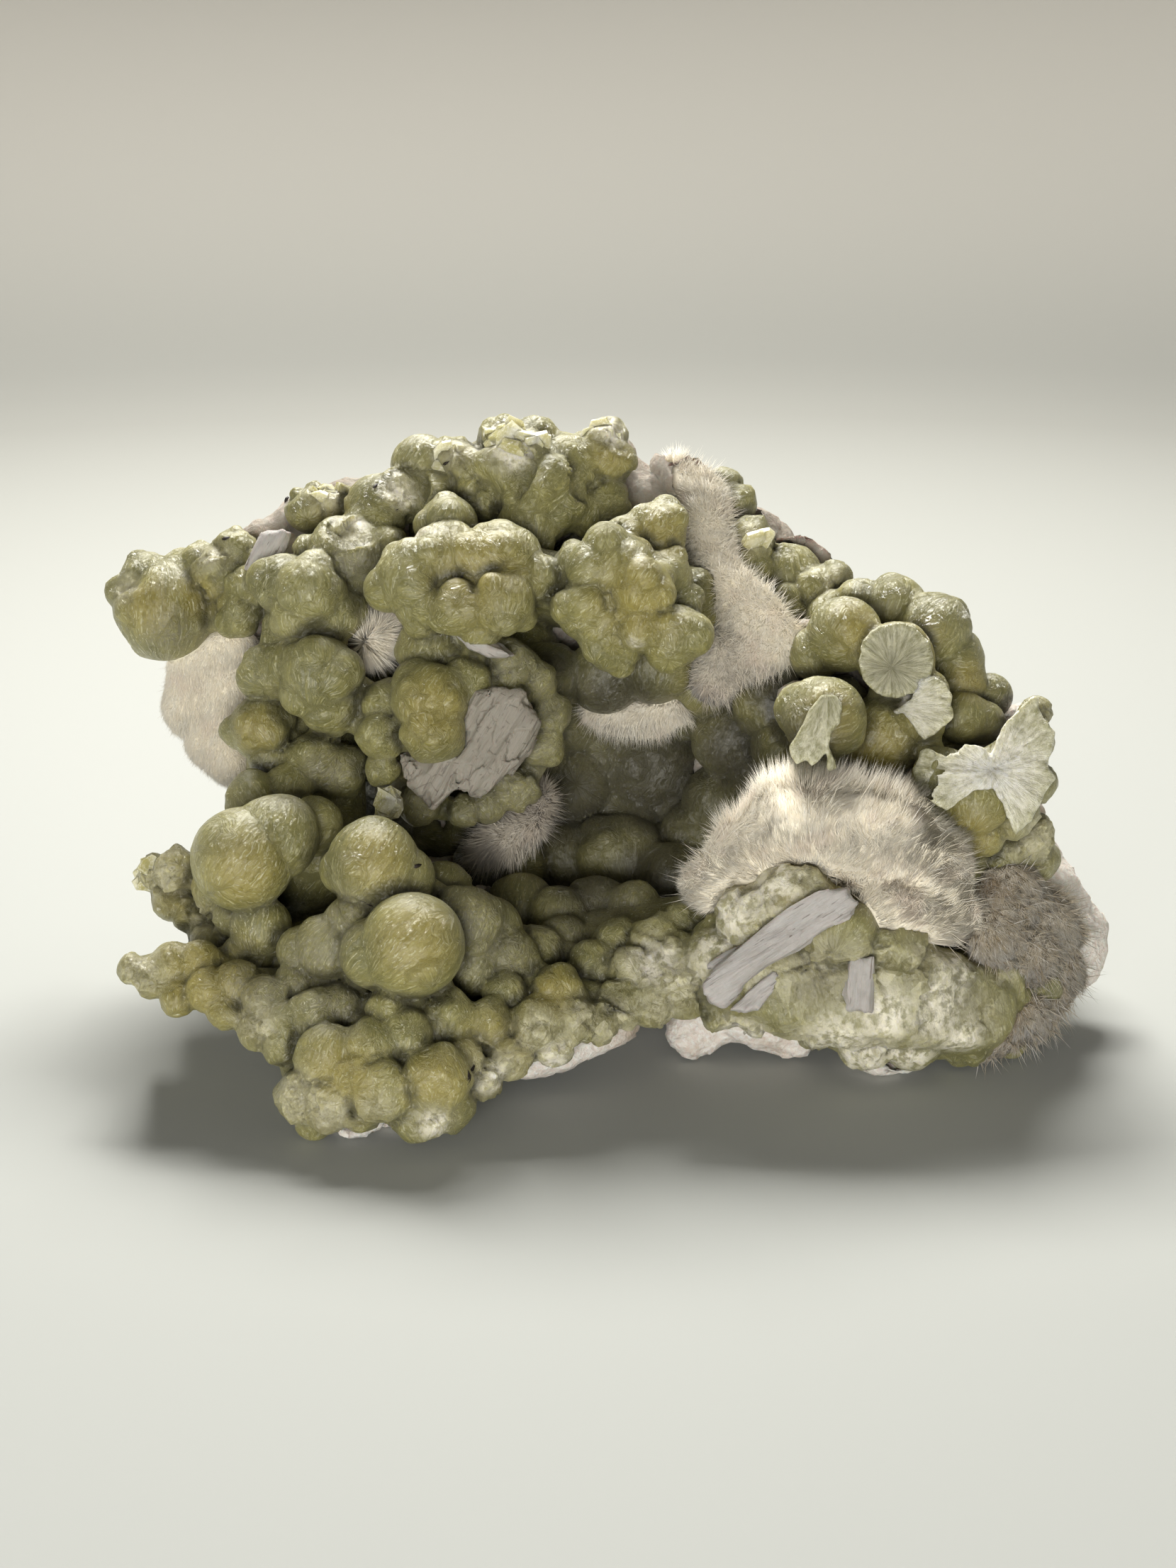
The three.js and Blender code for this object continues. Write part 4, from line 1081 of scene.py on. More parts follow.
def make_prehnite(field, lobes, host):
    points, faces = field.surface()
    points = squeezed(points + field.outward(points) * prehnite_relief(points, field)[:, None])
    mesh = thinned("prehnite", mesh_of("prehnite", points, faces), PREHNITE_TRIANGLES)
    points = points_of(mesh)
    owner = field.owner_at(points)
    middle, pole = (np.array(lobes[key])[owner] for key in ("middle", "pole"))
    side = unit(np.cross(pole, [0.3, 0.5, 0.8]))
    away = points - middle
    give(mesh, "lobe", np.stack([(away * axis).sum(-1) for axis in (side, np.cross(pole, side), pole)], -1))
    give(mesh, "zones", np.stack([zone(points, rows, field) for rows in (WARM, PALE, DUSTY)], -1))
    give(mesh, "stain", zone(points, STAINS, field))
    # Painted shade: how far each point lies in the shaded lining deep in the vug.
    give(mesh, "deep", zone(points, VUG_SHADE, field))
    give(mesh, "open", openness(points, field.outward(points), field, host))
    piece("prehnite", mesh, finish("prehnite as grown, waxy olive", grown_prehnite), "prehnite_crust")


def make_host(host, prehnite):
    points, faces = host.surface()
    outward = host.outward(points)
    chips = 0.35 * facets(points, 3.2, 51)
    relief = 1.1 * rough(points, 9.0, 41, 4) + chips + 0.12 * rough(points, 1.2, 61, 2)
    points = squeezed(points + outward * (relief - 0.6)[:, None])
    mesh = thinned("host_rock", mesh_of("host_rock", points, faces), HOST_TRIANGLES)
    points = points_of(mesh)
    give(mesh, "open", openness(points, host.outward(points), host, prehnite))
    piece("host_rock_broken", mesh, finish("altered basalt rind, broken", broken_rind), "host_rock")


def blade(root, out, flat, length, width, thickness, rng):
    """The points and faces of one broken blade that narrows to its root."""
    side = np.cross(out, flat)
    outline = [(0, -0.22), (0.45, -0.5), (0.85, -0.45), (1.05, 0.02), (0.9, 0.42), (0.5, 0.5), (0, 0.22)]
    count = len(outline)
    along, across = (np.array(outline) + 0.09 * rng.normal(size=(count, 2))).T
    bend = 0.12 * length * rng.normal()
    rings = []
    for face in (-0.5, 0.5):
        lift = bend * along**2 + face * thickness * (1.1 - 0.6 * along)
        run = np.outer(along * length, out) + np.outer(across * width, side)
        rings.append(root + run + np.outer(lift, flat))
    faces = [[0, i + 1, i] for i in range(1, count - 1)]
    faces += [[count, count + i, count + i + 1] for i in range(1, count - 1)]
    for i in range(count):
        after = (i + 1) % count
        faces += [[i, after, after + count], [i, after + count, i + count]]
    return np.concatenate(rings), np.array(faces)


def make_blades():
    """The glassy blades that fan out of the broken lobes, as one mesh."""
    rng = np.random.default_rng(BLADE_SEED)
    parts = []
    for across, up, back, radius, *lean, opening, blades in CRESTS:
        middle = place([across, up, back])
        towards = turned(lean)
        stack = TO_VIEWER + 0.55 * rng.normal(size=3)
        stack = unit(stack - towards * (stack @ towards))
        side = np.cross(towards, stack)
        for _ in range(blades):
            turn = rng.uniform(-opening, opening)
            out = unit(towards * math.cos(turn) + side * math.sin(turn) + 0.22 * stack * rng.normal())
            flat = unit(np.cross(out, np.cross(stack + 0.25 * rng.normal(size=3), out)))
            length = radius * rng.uniform(0.8, 1.02)
            root = middle + stack * radius * rng.uniform(-0.2, 0.6)
            width = length * rng.uniform(0.7, 1.1)
            parts.append(blade(root, out, flat, length, width, rng.uniform(0.8, 1.5), rng))
    points, faces = joined(parts)
    mesh = mesh_of("prehnite_blades", squeezed(points), faces)
    loose_piece("prehnite_blades", mesh, finish("prehnite blade, glassy pale", glassy_blade))
    mesh.shade_flat()


def fan_run(spots, fan):
    """The place along the fibres of a fan at spots [across, up], and how far they are from its hub."""
    away = spots - np.array(fan["hub"])
    reach = np.linalg.norm(away, axis=1)
    return np.column_stack((4 * unit(away), 0.25 * reach)), reach


def make_fans():
    """The broken faces whose fibres fan out of a hub, as one mesh: ridged along the fibres and ragged at
    the rim, with the fibres' run, the lightness, and the chalk and the rim kept at each point."""
    parts, strands, tones = [], [], []
    for seed, fan in enumerate(FANS.values(), FAN_SEED):
        front, thickness = fan["front"], fan["thickness"]
        field = Field(*box_around(fan["outline"], front - 2, front + thickness + 3), FAN_STEP)
        across, up = np.meshgrid(*field.axes[:2], indexing="ij")
        flat = np.stack((across, up), -1).reshape(-1, 2)
        run, _ = fan_run(flat, fan)
        ridges = 0.32 * rough(run, 1.1, seed) + 0.4 * facets(run, 1.6, seed + 4)
        ridges = ridges + 0.1 * rough(np.column_stack((flat, flat[:, 0])), 0.9, seed + 8)
        ridges = ridges.reshape(across.shape) * (0.4 + 0.6 * fan["chalk"])
        edge = outline_distance(across, up, fan["outline"]) + 0.25 + 0.7 * ridges
        front = (front + fan["lean"] * (across - fan["hub"][0]) + ridges)[..., None]
        deep = np.maximum(front - field.axes[2], field.axes[2] - front - thickness)
        field.value = -lesser(-edge[..., None], -deep, 0.35).astype(np.float32)
        spots, sides = field.surface()
        run, away = fan_run(spots[:, :2], fan)
        chalk = fan["chalk"] * np.clip(1.4 - away / 5.4, 0, 1)
        rim = np.clip(-outline_distance(spots[:, 0], spots[:, 1], fan["outline"]) / 1.6, 0, 1)
        parts.append((place(spots), sides))
        strands.append(run)
        tones.append(np.column_stack((np.full(len(spots), fan["light"]), chalk, rim)))
    points, faces = joined(parts)
    mesh = mesh_of("prehnite_fans", squeezed(points), faces)
    give(mesh, "strand", np.concatenate(strands))
    give(mesh, "tones", np.concatenate(tones))
    loose_piece("prehnite_fans", mesh, finish("prehnite broken across its fibres", fanned_break))


def triangles_of(faces):
    """The triangles of four-cornered faces."""
    return np.concatenate((faces[:, :3], faces[:, [0, 2, 3]]))


def scattered(points, triangles, count, rng):
    """Random spots spread evenly over a surface."""
    corners = points[triangles]
    area = np.linalg.norm(np.cross(corners[:, 1] - corners[:, 0], corners[:, 2] - corners[:, 0]), axis=1)
    chosen = corners[rng.choice(len(area), count, p=area / area.sum())]
    a, b = rng.random((2, count, 1))
    fold = a + b > 1
    a, b = np.where(fold, 1 - a, a), np.where(fold, 1 - b, b)
    return chosen[:, 0] + a * (chosen[:, 1] - chosen[:, 0]) + b * (chosen[:, 2] - chosen[:, 0])


def nearest_of(points, seeds):
    """The number of the seed nearest to each point, worked out in parts to spare memory."""
    found = []
    for part in np.array_split(points, 40):
        gaps = (seeds**2).sum(1) - 2 * part @ seeds.T
        found.append(gaps.argmin(1))
    return np.concatenate(found)


def needles(roots, tips, width, rng):
    """Closed three-sided needles: their points and faces."""
    run = unit(tips - roots)
    side = unit(np.cross(run, rng.normal(size=run.shape)))
    other = np.cross(run, side)
    turns = [2 * math.pi * i / 3 for i in range(3)]
    ring = [roots + width * (side * math.cos(turn) + other * math.sin(turn)) for turn in turns]
    points = np.stack([*ring, tips], 1).reshape(-1, 3)
    first = np.arange(0, len(points), 4)[:, None]
    sides = [[0, 1, 3], [1, 2, 3], [2, 0, 3], [0, 2, 1]]
    return points, np.concatenate([first + np.array(side) for side in sides])


def combed(roots, outward, pile, seed, rng):
    """Which way each fibre runs and how long it is: most lie along the heart, and the longest stand up."""
    comb = turned(pile["comb"]) * np.linalg.norm(pile["comb"])
    if "from" in pile:
        comb = comb + unit(roots - place(pile["from"]))
    drift = np.stack([rough(roots, 5.0, seed + 20 + i, 2) for i in range(3)], -1)
    longest = rng.random(len(roots)) < pile["long"]
    lying = pile.get("drift", 0.8) * drift + pile["stray"] * rng.normal(size=roots.shape) + comb
    lying -= (lying * outward).sum(-1, keepdims=True) * outward
    crest = np.clip(3 * (outward @ turned([0, 1, 0.3]) - 0.6), 0, 1) * pile["crest"]
    stand = np.where(longest, 1.0, np.maximum(pile["lie"], crest))[:, None]
    run = unit(outward * stand + lying * (1.1 - 0.6 * stand))
    length = pile["pile"] * rng.uniform(0.7, 1.4, len(roots))
    length = length * (1 + 0.8 * crest)
    length = np.where(longest, pile["longest"] * rng.uniform(0.6, 1.1, len(roots)), length)
    return run, length, longest


def make_tuft(name, stones, seed):
    """A tuft of okenite: a felted heart, and fibres that stand over it as far as its CAD solid reaches."""
    rng = np.random.default_rng(seed)
    pile = PILES[name]
    middles, radii = balls(TUFTS[name])
    hearts = radii - pile["pile"] * (0.2 + 0.6 * pile["lie"])
    around = radii[:, None]
    field = Field((middles - around - 1).min(0), (middles + around + 1).max(0), TUFT_STEP)
    join_links(field, middles, hearts, blend=0.6)
    points, faces = field.surface()
    faces = triangles_of(faces)
    lumps = pile.get("lumps", 0.45) * rough(points, 3.5, seed) - 0.1
    points = points + field.outward(points) * lumps[:, None]
    roots = scattered(points, faces, int(pile["fibres"] * 1.6), rng)
    outward = field.outward(roots)
    free = np.min([stone.at(roots + outward * 0.5) for stone in stones], 0) > 0
    free &= roots[:, 2] > 0.3
    roots, outward = roots[free][: pile["fibres"]], outward[free][: pile["fibres"]]
    run, length, longest = combed(roots, outward, pile, seed, rng)
    seeds = rng.choice(len(roots), pile["clumps"], replace=False)
    clump = nearest_of(roots, roots[seeds])
    peak = (roots[seeds] + run[seeds] * pile["pile"] * 1.1)[clump]
    pull = pile["clump"] * rng.uniform(0.3, 1.1, (len(roots), 1)) * ~longest[:, None]
    tips = roots + run * length[:, None]
    tips = squeezed(tips + (peak - tips) * np.minimum(pull, 0.9))
    width = pile["width"] * 0.5 * rng.uniform(0.7, 1.3, (len(roots), 1))
    fibres, sides = needles(roots - run * 0.3, tips, width, rng)
    tone = rng.uniform(0, 1, len(seeds))[clump]
    along = np.tile([0.0, 0, 0, 1], len(roots))
    shade = np.stack((along, np.repeat(tone, 4), np.repeat(rng.random(len(roots)), 4)), -1)
    mesh = mesh_of(name, *joined([(points, faces), (fibres, sides)]))
    give(mesh, "fibre", np.concatenate((np.tile([0.0, 0.5, 0.5], (len(points), 1)), shade)))
    spots = points_of(mesh)
    # Painted shade: how far each point lies in the shaded okenite deep in the vug.
    dull = [np.linalg.norm(spots - place(spot), axis=1) / reach for *spot, reach in VUG_FIBRE_SHADE]
    give(mesh, "dull", np.clip(1.6 * (1 - np.min(dull, 0)), 0, 1))
    title, *colours = FIBRE_COLOURS[SLOTS[name]]
    piece(name.replace("okenite_", "") + "_fibres", mesh, finish(title, okenite_fibre, *colours), name)


def grain_run(spots, degrees):
    """How far spots lie along and across the grain, and back."""
    turn = math.radians(degrees)
    along = spots[..., 0] * math.cos(turn) + spots[..., 1] * math.sin(turn)
    across = spots[..., 1] * math.cos(turn) - spots[..., 0] * math.sin(turn)
    return along, across, spots[..., 2]


def make_lath(name, seed):
    """A lath or plate: its outline drawn out towards the viewer, ragged, striated and cracked."""
    lath = LATHS[name]
    field = Field(*lath_box(lath), LATH_STEP)
    spots = np.stack(np.meshgrid(*field.axes, indexing="ij"), -1)
    along, across, back = grain_run(spots, lath["grain"])
    strands = np.stack((along / 9, across, back), -1).reshape(-1, 3)
    ragged = 0.3 * rough(strands, 0.9, seed) + 0.45 * grain(strands * [3, 1, 1], 2.2, seed + 7)
    ragged = ragged + lath["blocky_and_shaded"] * 0.7 * facets(strands * [4, 1, 1], 2.4, seed + 9)
    distance = lath_distance(spots, lath) + 0.05 + ragged.reshape(spots.shape[:3])
    field.value = distance.astype(np.float32)
    spots, faces = field.surface()
    mesh = mesh_of(name, place(spots), faces)
    give(mesh, "grain", np.stack(grain_run(spots, lath["grain"]), -1))
    title = f"laumontite, dry and chalky {lath['blocky_and_shaded']:g}"
    piece(name.replace("laumontite_", ""), mesh, finish(title, dry_laumontite, lath["blocky_and_shaded"]), name)


def make_flecks(stones):
    """Thin dark flecks that lie on the prehnite."""
    rng = np.random.default_rng(FLECK_SEED)
    ring = [(-0.5, 0.05), (-0.2, 0.16), (0.15, 0.1), (0.5, 0.02), (0.2, -0.12), (-0.15, -0.14)]
    sides = [[i, (i + 1) % 6, (i + 1) % 6 + 6, i + 6] for i in range(6)]
    caps = [[0, 5, 4, 1], [1, 4, 3, 2], [6, 7, 10, 11], [7, 8, 9, 10]]
    parts = []
    for across, up, length, degrees in FLECKS:
        seat = seen_at(across, up, *stones)
        out = stones[0].outward(seat[None])[0]
        turn = math.radians(degrees)
        run = turned([math.cos(turn), math.sin(turn), 0])
        run = unit(run - out * (run @ out))
        side = np.cross(out, run)
        points = []
        for height in (-0.15, 0.12):
            bent = [run * a * length + side * b * length + out * (height - a * a * 0.5) for a, b in ring]
            points.append(seat + np.array(bent) + 0.03 * rng.normal(size=(6, 3)))
        parts.append((np.concatenate(points), np.array(sides + caps)))
    mesh = mesh_of("dark_flecks", *joined(parts))
    loose_piece("dark_flecks", mesh, finish("dark fleck, dull", dark_fleck))


def colour(text):
    """The linear colour of an sRGB hex value."""
    parts = [int(text[i : i + 2], 16) / 255 for i in (1, 3, 5)]
    return [p / 12.92 if p <= 0.04045 else ((p + 0.055) / 1.055) ** 2.4 for p in parts] + [1.0]


def add(tree, kind, inputs=None, **settings):
    """Adds a shader node and gives its outputs: an input is a value, a colour's hex value, or an output
    that is linked to it. Some inputs go by number: a MapRange takes a value 0 from the range 1 to 2 to the
    range 3 to 4, and a Mix goes by the share 0 from colour 6 to colour 7. Scales are in cells per mm."""
    node = tree.nodes.new("ShaderNode" + kind)
    for name, value in settings.items():
        setattr(node, name, value)
    for name, value in (inputs or {}).items():
        if isinstance(value, bpy.types.NodeSocket):
            tree.links.new(value, node.inputs[name])
        else:
            node.inputs[name].default_value = colour(value) if isinstance(value, str) else value
    return node.outputs


def layered(tree, body, *coats):
    """A colour under coats, each of them a share from 0 to 1 and the colour that it turns to."""
    for share, tone in coats:
        body = add(tree, "Mix", {0: share, 6: body, 7: tone}, data_type="RGBA")[2]
    return body


def millimetres(tree):
    """The place on the specimen, in millimetres."""
    here = add(tree, "TexCoord")["Object"]
    return add(tree, "VectorMath", {0: here, 3: 1 / MM}, operation="SCALE")[0]


def tilted_cells(tree, where, scale):
    """Heights of flat cells, each tilted its own way, that catch the light one by one."""
    cells = add(tree, "TexVoronoi", {"Vector": where, "Scale": scale})
    tilt = add(tree, "VectorMath", {0: cells["Color"], 1: (0.5, 0.5, 0.5)}, operation="SUBTRACT")[0]
    away = add(tree, "VectorMath", {0: where, 1: cells["Position"]}, operation="SUBTRACT")[0]
    return add(tree, "VectorMath", {0: tilt, 1: away}, operation="DOT_PRODUCT")["Value"]


def finish(name, paint, *settings):
    """The material of that name, made once: paint lays it out and gives what goes into its shader."""
    if name in bpy.data.materials:
        return bpy.data.materials[name]
    material = bpy.data.materials.new(name)
    material.use_nodes = True
    tree = material.node_tree
    tree.nodes.clear()
    surface = add(tree, "BsdfPrincipled", paint(tree, *settings))[0]
    add(tree, "OutputMaterial", {"Surface": surface})
    return material


def grown_prehnite(tree):
    """Prehnite as it grew, in fine fibres that fan out of each lobe's middle: waxy and see-through at the
    edges, olive with honey-yellow lobes, paler and glassy where it is broken, and frosted grey in the
    creases and where fine crystals dust it. Painted shade darkens its creases and the lining deep in the
    vug, and painted glints of white specks lie on what faces up."""
    lobe = add(tree, "Attribute", attribute_name="lobe")["Vector"]
    zones = add(tree, "Attribute", attribute_name="zones")["Vector"]
    warm, pale, dusty = add(tree, "SeparateXYZ", {0: zones})
    opened = add(tree, "Attribute", attribute_name="open")["Fac"]
    where = millimetres(tree)

    # Fibres run from the pole over each lobe and wave a little. The real ones are under 0.1 mm wide. They
    # are drawn 0.4 mm wide and about 3 mm long, and the silk's threads 0.2 mm wide, so that they show.
    radius = add(tree, "VectorMath", {0: lobe}, operation="LENGTH")["Value"]
    level = add(tree, "VectorMath", {0: lobe, 1: (1, 1, 0)}, operation="MULTIPLY")[0]
    level = add(tree, "VectorMath", {0: level}, operation="NORMALIZE")[0]
    level = add(tree, "VectorMath", {0: level, 3: radius}, operation="SCALE")[0]
    strand = add(tree, "VectorMath", {0: lobe, 1: (0, 0, 0.14), 2: level}, operation="MULTIPLY_ADD")[0]
    sway = add(tree, "TexNoise", {"Vector": where, "Scale": 0.45})["Color"]
    strand = add(tree, "VectorMath", {0: sway, 1: (1.2, 1.2, 1.2), 2: strand}, operation="MULTIPLY_ADD")[0]
    fibres = add(tree, "TexNoise", {"Vector": strand, "Scale": 2.6, "Detail": 3.0, "Roughness": 0.65})[0]
    silk = add(tree, "TexNoise", {"Vector": strand, "Scale": 4.6, "Detail": 1.0})[0]

    # Sugar is crystal grains 0.4 mm across, and clouds of lighter olive are 5.5 mm across.
    sugar = add(tree, "TexNoise", {"Vector": where, "Scale": 2.6, "Detail": 4.0, "Roughness": 0.7})[0]
    cloud = add(tree, "TexNoise", {"Vector": where, "Scale": 0.18, "Detail": 4.0})[0]

    # Painted glints: white specks under 0.5 mm across, in flocks of 2.5 mm, most of them on what faces up
    # to the lamps.
    painted_glints = add(tree, "TexNoise", {"Vector": where, "Scale": 2.0, "Detail": 2.0, "Roughness": 0.8})[0]
    painted_glints = add(tree, "MapRange", {0: painted_glints, 1: 0.64, 2: 0.72, 4: 0.8})[0]
    flock = add(tree, "TexNoise", {"Vector": where, "Scale": 0.4, "Detail": 1.0})[0]
    flock = add(tree, "MapRange", {0: flock, 1: 0.42, 2: 0.62, 3: 0.1})[0]
    lit_from_above = add(tree, "SeparateXYZ", {0: add(tree, "TexCoord")["Normal"]})[2]
    lit_from_above = add(tree, "MapRange", {0: lit_from_above, 1: -0.1, 2: 0.7, 3: 0.2})[0]
    painted_glints = add(tree, "Math", {0: painted_glints, 1: flock}, operation="MULTIPLY")[0]
    painted_glints = add(tree, "Math", {0: painted_glints, 1: lit_from_above}, operation="MULTIPLY")[0]

    # Body colour: olive clouds, honey lobes, pale silky strands, and the painted glints.
    clouded = add(tree, "MapRange", {0: cloud, 1: 0.38, 2: 0.62})[0]
    warmth = add(tree, "Math", {0: warm, 1: 0.6}, operation="MULTIPLY")[0]
    shade = add(tree, "MapRange", {0: fibres, 1: 0.3, 2: 0.5, 3: 0.3, 4: 0.0})[0]
    streak = add(tree, "MapRange", {0: fibres, 1: 0.5, 2: 0.72, 4: 0.4})[0]
    thread = add(tree, "MapRange", {0: silk, 1: 0.6, 2: 0.7, 4: 0.6})[0]
    body = layered(
        tree, "#757242", (clouded, "#8F8A54"), (warmth, "#A19144"), (shade, "#534F2C"), (streak, "#B8AF6E"),
        (thread, "#C9C5A2"), (painted_glints, "#EFEDD6"),
    )

    # Broken crystal: pale green, cream and grey blocks 1.8 mm across.
    blocks = add(tree, "TexVoronoi", {"Vector": where, "Scale": 0.55, "Randomness": 1.0})["Color"]
    block = add(tree, "SeparateColor", {0: blocks})[0]
    mottle = add(tree, "Math", {0: block, 1: 0.5, 2: sugar}, operation="MULTIPLY_ADD")[0]
    mottle = add(tree, "MapRange", {0: mottle, 1: 0.45, 2: 1.0})[0]
    greyed = add(tree, "MapRange", {0: cloud, 1: 0.5, 2: 0.7, 4: 0.6})[0]
    broken = layered(tree, "#837D55", (mottle, "#C3BD9C"), (greyed, "#857F5F"))

    # Frost in the creases and over the dusty lobes, painted shade that darkens the creases and the lining
    # deep in the vug, and chalky stains that break up into patches 1.3 mm across.
    frosted = add(tree, "MapRange", {0: sugar, 1: 0.36, 2: 0.64})[0]
    crease = add(tree, "MapRange", {0: opened, 1: 0.55, 2: 0.9, 3: 0.3, 4: 0.0})[0]
    frost = add(tree, "Math", {0: dusty, 1: 0.85, 2: crease}, operation="MULTIPLY_ADD", use_clamp=True)[0]
    frost = add(tree, "Math", {0: frost, 1: frosted}, operation="MULTIPLY")[0]
    # Painted shade: darker in the creases and hollows, where little light falls.
    painted_crease_shade = add(tree, "MapRange", {0: opened, 1: 0.25, 2: 0.8, 3: 0.85, 4: 0.0})[0]
    # Painted shade over the lining deep in the vug.
    deep = add(tree, "Attribute", attribute_name="deep")["Fac"]
    deep = add(tree, "Math", {0: deep, 1: 0.85}, operation="MULTIPLY")[0]
    patches = add(tree, "TexNoise", {"Vector": where, "Scale": 0.8, "Detail": 6.0, "Roughness": 0.6})[0]
    chalk = add(tree, "MapRange", {0: patches, 1: 0.42, 2: 0.54, 3: 0.15})[0]
    stain = add(tree, "Attribute", attribute_name="stain")["Fac"]
    chalk = add(tree, "Math", {0: stain, 1: chalk}, operation="MULTIPLY")[0]
    frost_tone = layered(tree, "#666149", (silk, "#99937E"))
    body = layered(
        tree, body, (pale, broken), (frost, frost_tone), (painted_crease_shade, "#3A371B"), (deep, "#3C3828"),
        (chalk, "#EEE8D4"),
    )

    # Relief in millimetres: flat-sided fibres 0.3 mm wide and crystal faces 0.4 mm across, with sugar
    # between.
    height = add(tree, "Math", {0: tilted_cells(tree, strand, 3.2), 1: 0.55}, operation="MULTIPLY")[0]
    for bumps, size in ((tilted_cells(tree, where, 2.4), 0.4), (silk, 0.05), (sugar, 0.12)):
        height = add(tree, "Math", {0: bumps, 1: size, 2: height}, operation="MULTIPLY_ADD")[0]
    gloss = add(tree, "MapRange", {0: sugar, 1: 0.3, 2: 0.7, 3: 0.42, 4: 0.6})[0]
    return {
        "Base Color": body,
        "Roughness": add(tree, "Math", {0: frost, 1: 0.25, 2: gloss}, operation="MULTIPLY_ADD")[0],
        "IOR": 1.63,
        "Subsurface Weight": 0.75,
        "Subsurface Radius": (1.0, 0.95, 0.45),
        "Subsurface Scale": 1.2 * MM,
        "Coat Weight": 0.5,
        "Coat Roughness": 0.1,
        "Coat IOR": 1.63,
        "Sheen Weight": 0.08,
        "Sheen Roughness": 0.35,
        "Sheen Tint": "#DAD594",
        "Coat Normal": add(tree, "Bump", {"Height": height, "Strength": 1.0, "Distance": 1.7 * MM})[0],
        "Normal": add(tree, "Bump", {"Height": height, "Strength": 1.0, "Distance": 0.6 * MM})[0],
    }


def fanned_break(tree):
    """Prehnite broken across its fibres: silky pale green that fans out of a chalky hub, glassy at the
    rim, with painted glints on the rim."""
    tones = add(tree, "Attribute", attribute_name="tones")["Vector"]
    light, hub, rim = add(tree, "SeparateXYZ", {0: tones})

    # Fibres that widen from the hub, grains of sugar 0.6 mm across, and crystal faces as large.
    strand = add(tree, "Attribute", attribute_name="strand")["Vector"]
    where = millimetres(tree)
    fibres = add(tree, "TexNoise", {"Vector": strand, "Scale": 2.2, "Detail": 4.0, "Roughness": 0.65})[0]
    sugar = add(tree, "TexNoise", {"Vector": where, "Scale": 1.6, "Detail": 4.0, "Roughness": 0.7})[0]
    share = add(tree, "MapRange", {0: fibres, 1: 0.38, 2: 0.62})[0]
    dark = layered(tree, "#7F7B57", (share, "#B3AF8C"))
    pale = layered(tree, "#ADA984", (share, "#E2DEC8"))
    glass = add(tree, "MapRange", {0: rim, 1: 0.0, 2: 1.0, 3: 0.5, 4: 0.0})[0]
    # Painted glints: white flecks among the sugar on the glassy rim.
    painted_rim_glint = add(tree, "MapRange", {0: sugar, 1: 0.42, 2: 0.6})[0]
    white = add(tree, "MapRange", {0: sugar, 1: 0.34, 2: 0.56, 3: 0.35})[0]
    white = add(tree, "Math", {0: hub, 1: white}, operation="MULTIPLY")[0]
    glassy = layered(tree, "#8F8D58", (painted_rim_glint, "#EDEBD2"))
    cells = tilted_cells(tree, where, 1.8)
    height = add(tree, "Math", {0: cells, 1: 0.4, 2: fibres}, operation="MULTIPLY_ADD")[0]
    return {
        "Base Color": layered(tree, dark, (light, pale), (glass, glassy), (white, "#FBF7EC")),
        "Roughness": 0.3,
        "IOR": 1.63,
        "Subsurface Weight": 0.5,
        "Subsurface Radius": (1.0, 0.95, 0.6),
        "Subsurface Scale": 1.0 * MM,
        "Normal": add(tree, "Bump", {"Height": height, "Strength": 1.0, "Distance": 0.6 * MM})[0],
    }


def glassy_blade(tree):
    """Broken prehnite blades: glassy and pale, yellow-green in the body and cream at the edges, with clouds
    2 mm across and veins 0.3 mm wide."""
    where = millimetres(tree)
    cloud = add(tree, "TexNoise", {"Vector": where, "Scale": 0.5, "Detail": 4.0})[0]
    veins = add(tree, "TexNoise", {"Vector": where, "Scale": 3.0, "Detail": 3.0, "Roughness": 0.7})[0]
    share = add(tree, "MapRange", {0: cloud, 1: 0.38, 2: 0.62})[0]
    line = add(tree, "MapRange", {0: veins, 1: 0.5, 2: 0.7, 4: 0.6})[0]
    return {
        "Base Color": layered(tree, "#B5AE78", (share, "#DDD8B8"), (line, "#FAF7EA")),
        "Roughness": 0.18,
        "IOR": 1.63,
        "Subsurface Weight": 0.5,
        "Subsurface Radius": (1.0, 0.95, 0.6),
        "Subsurface Scale": 1.2 * MM,
        "Normal": add(tree, "Bump", {"Height": veins, "Strength": 0.5, "Distance": 0.2 * MM})[0],
    }


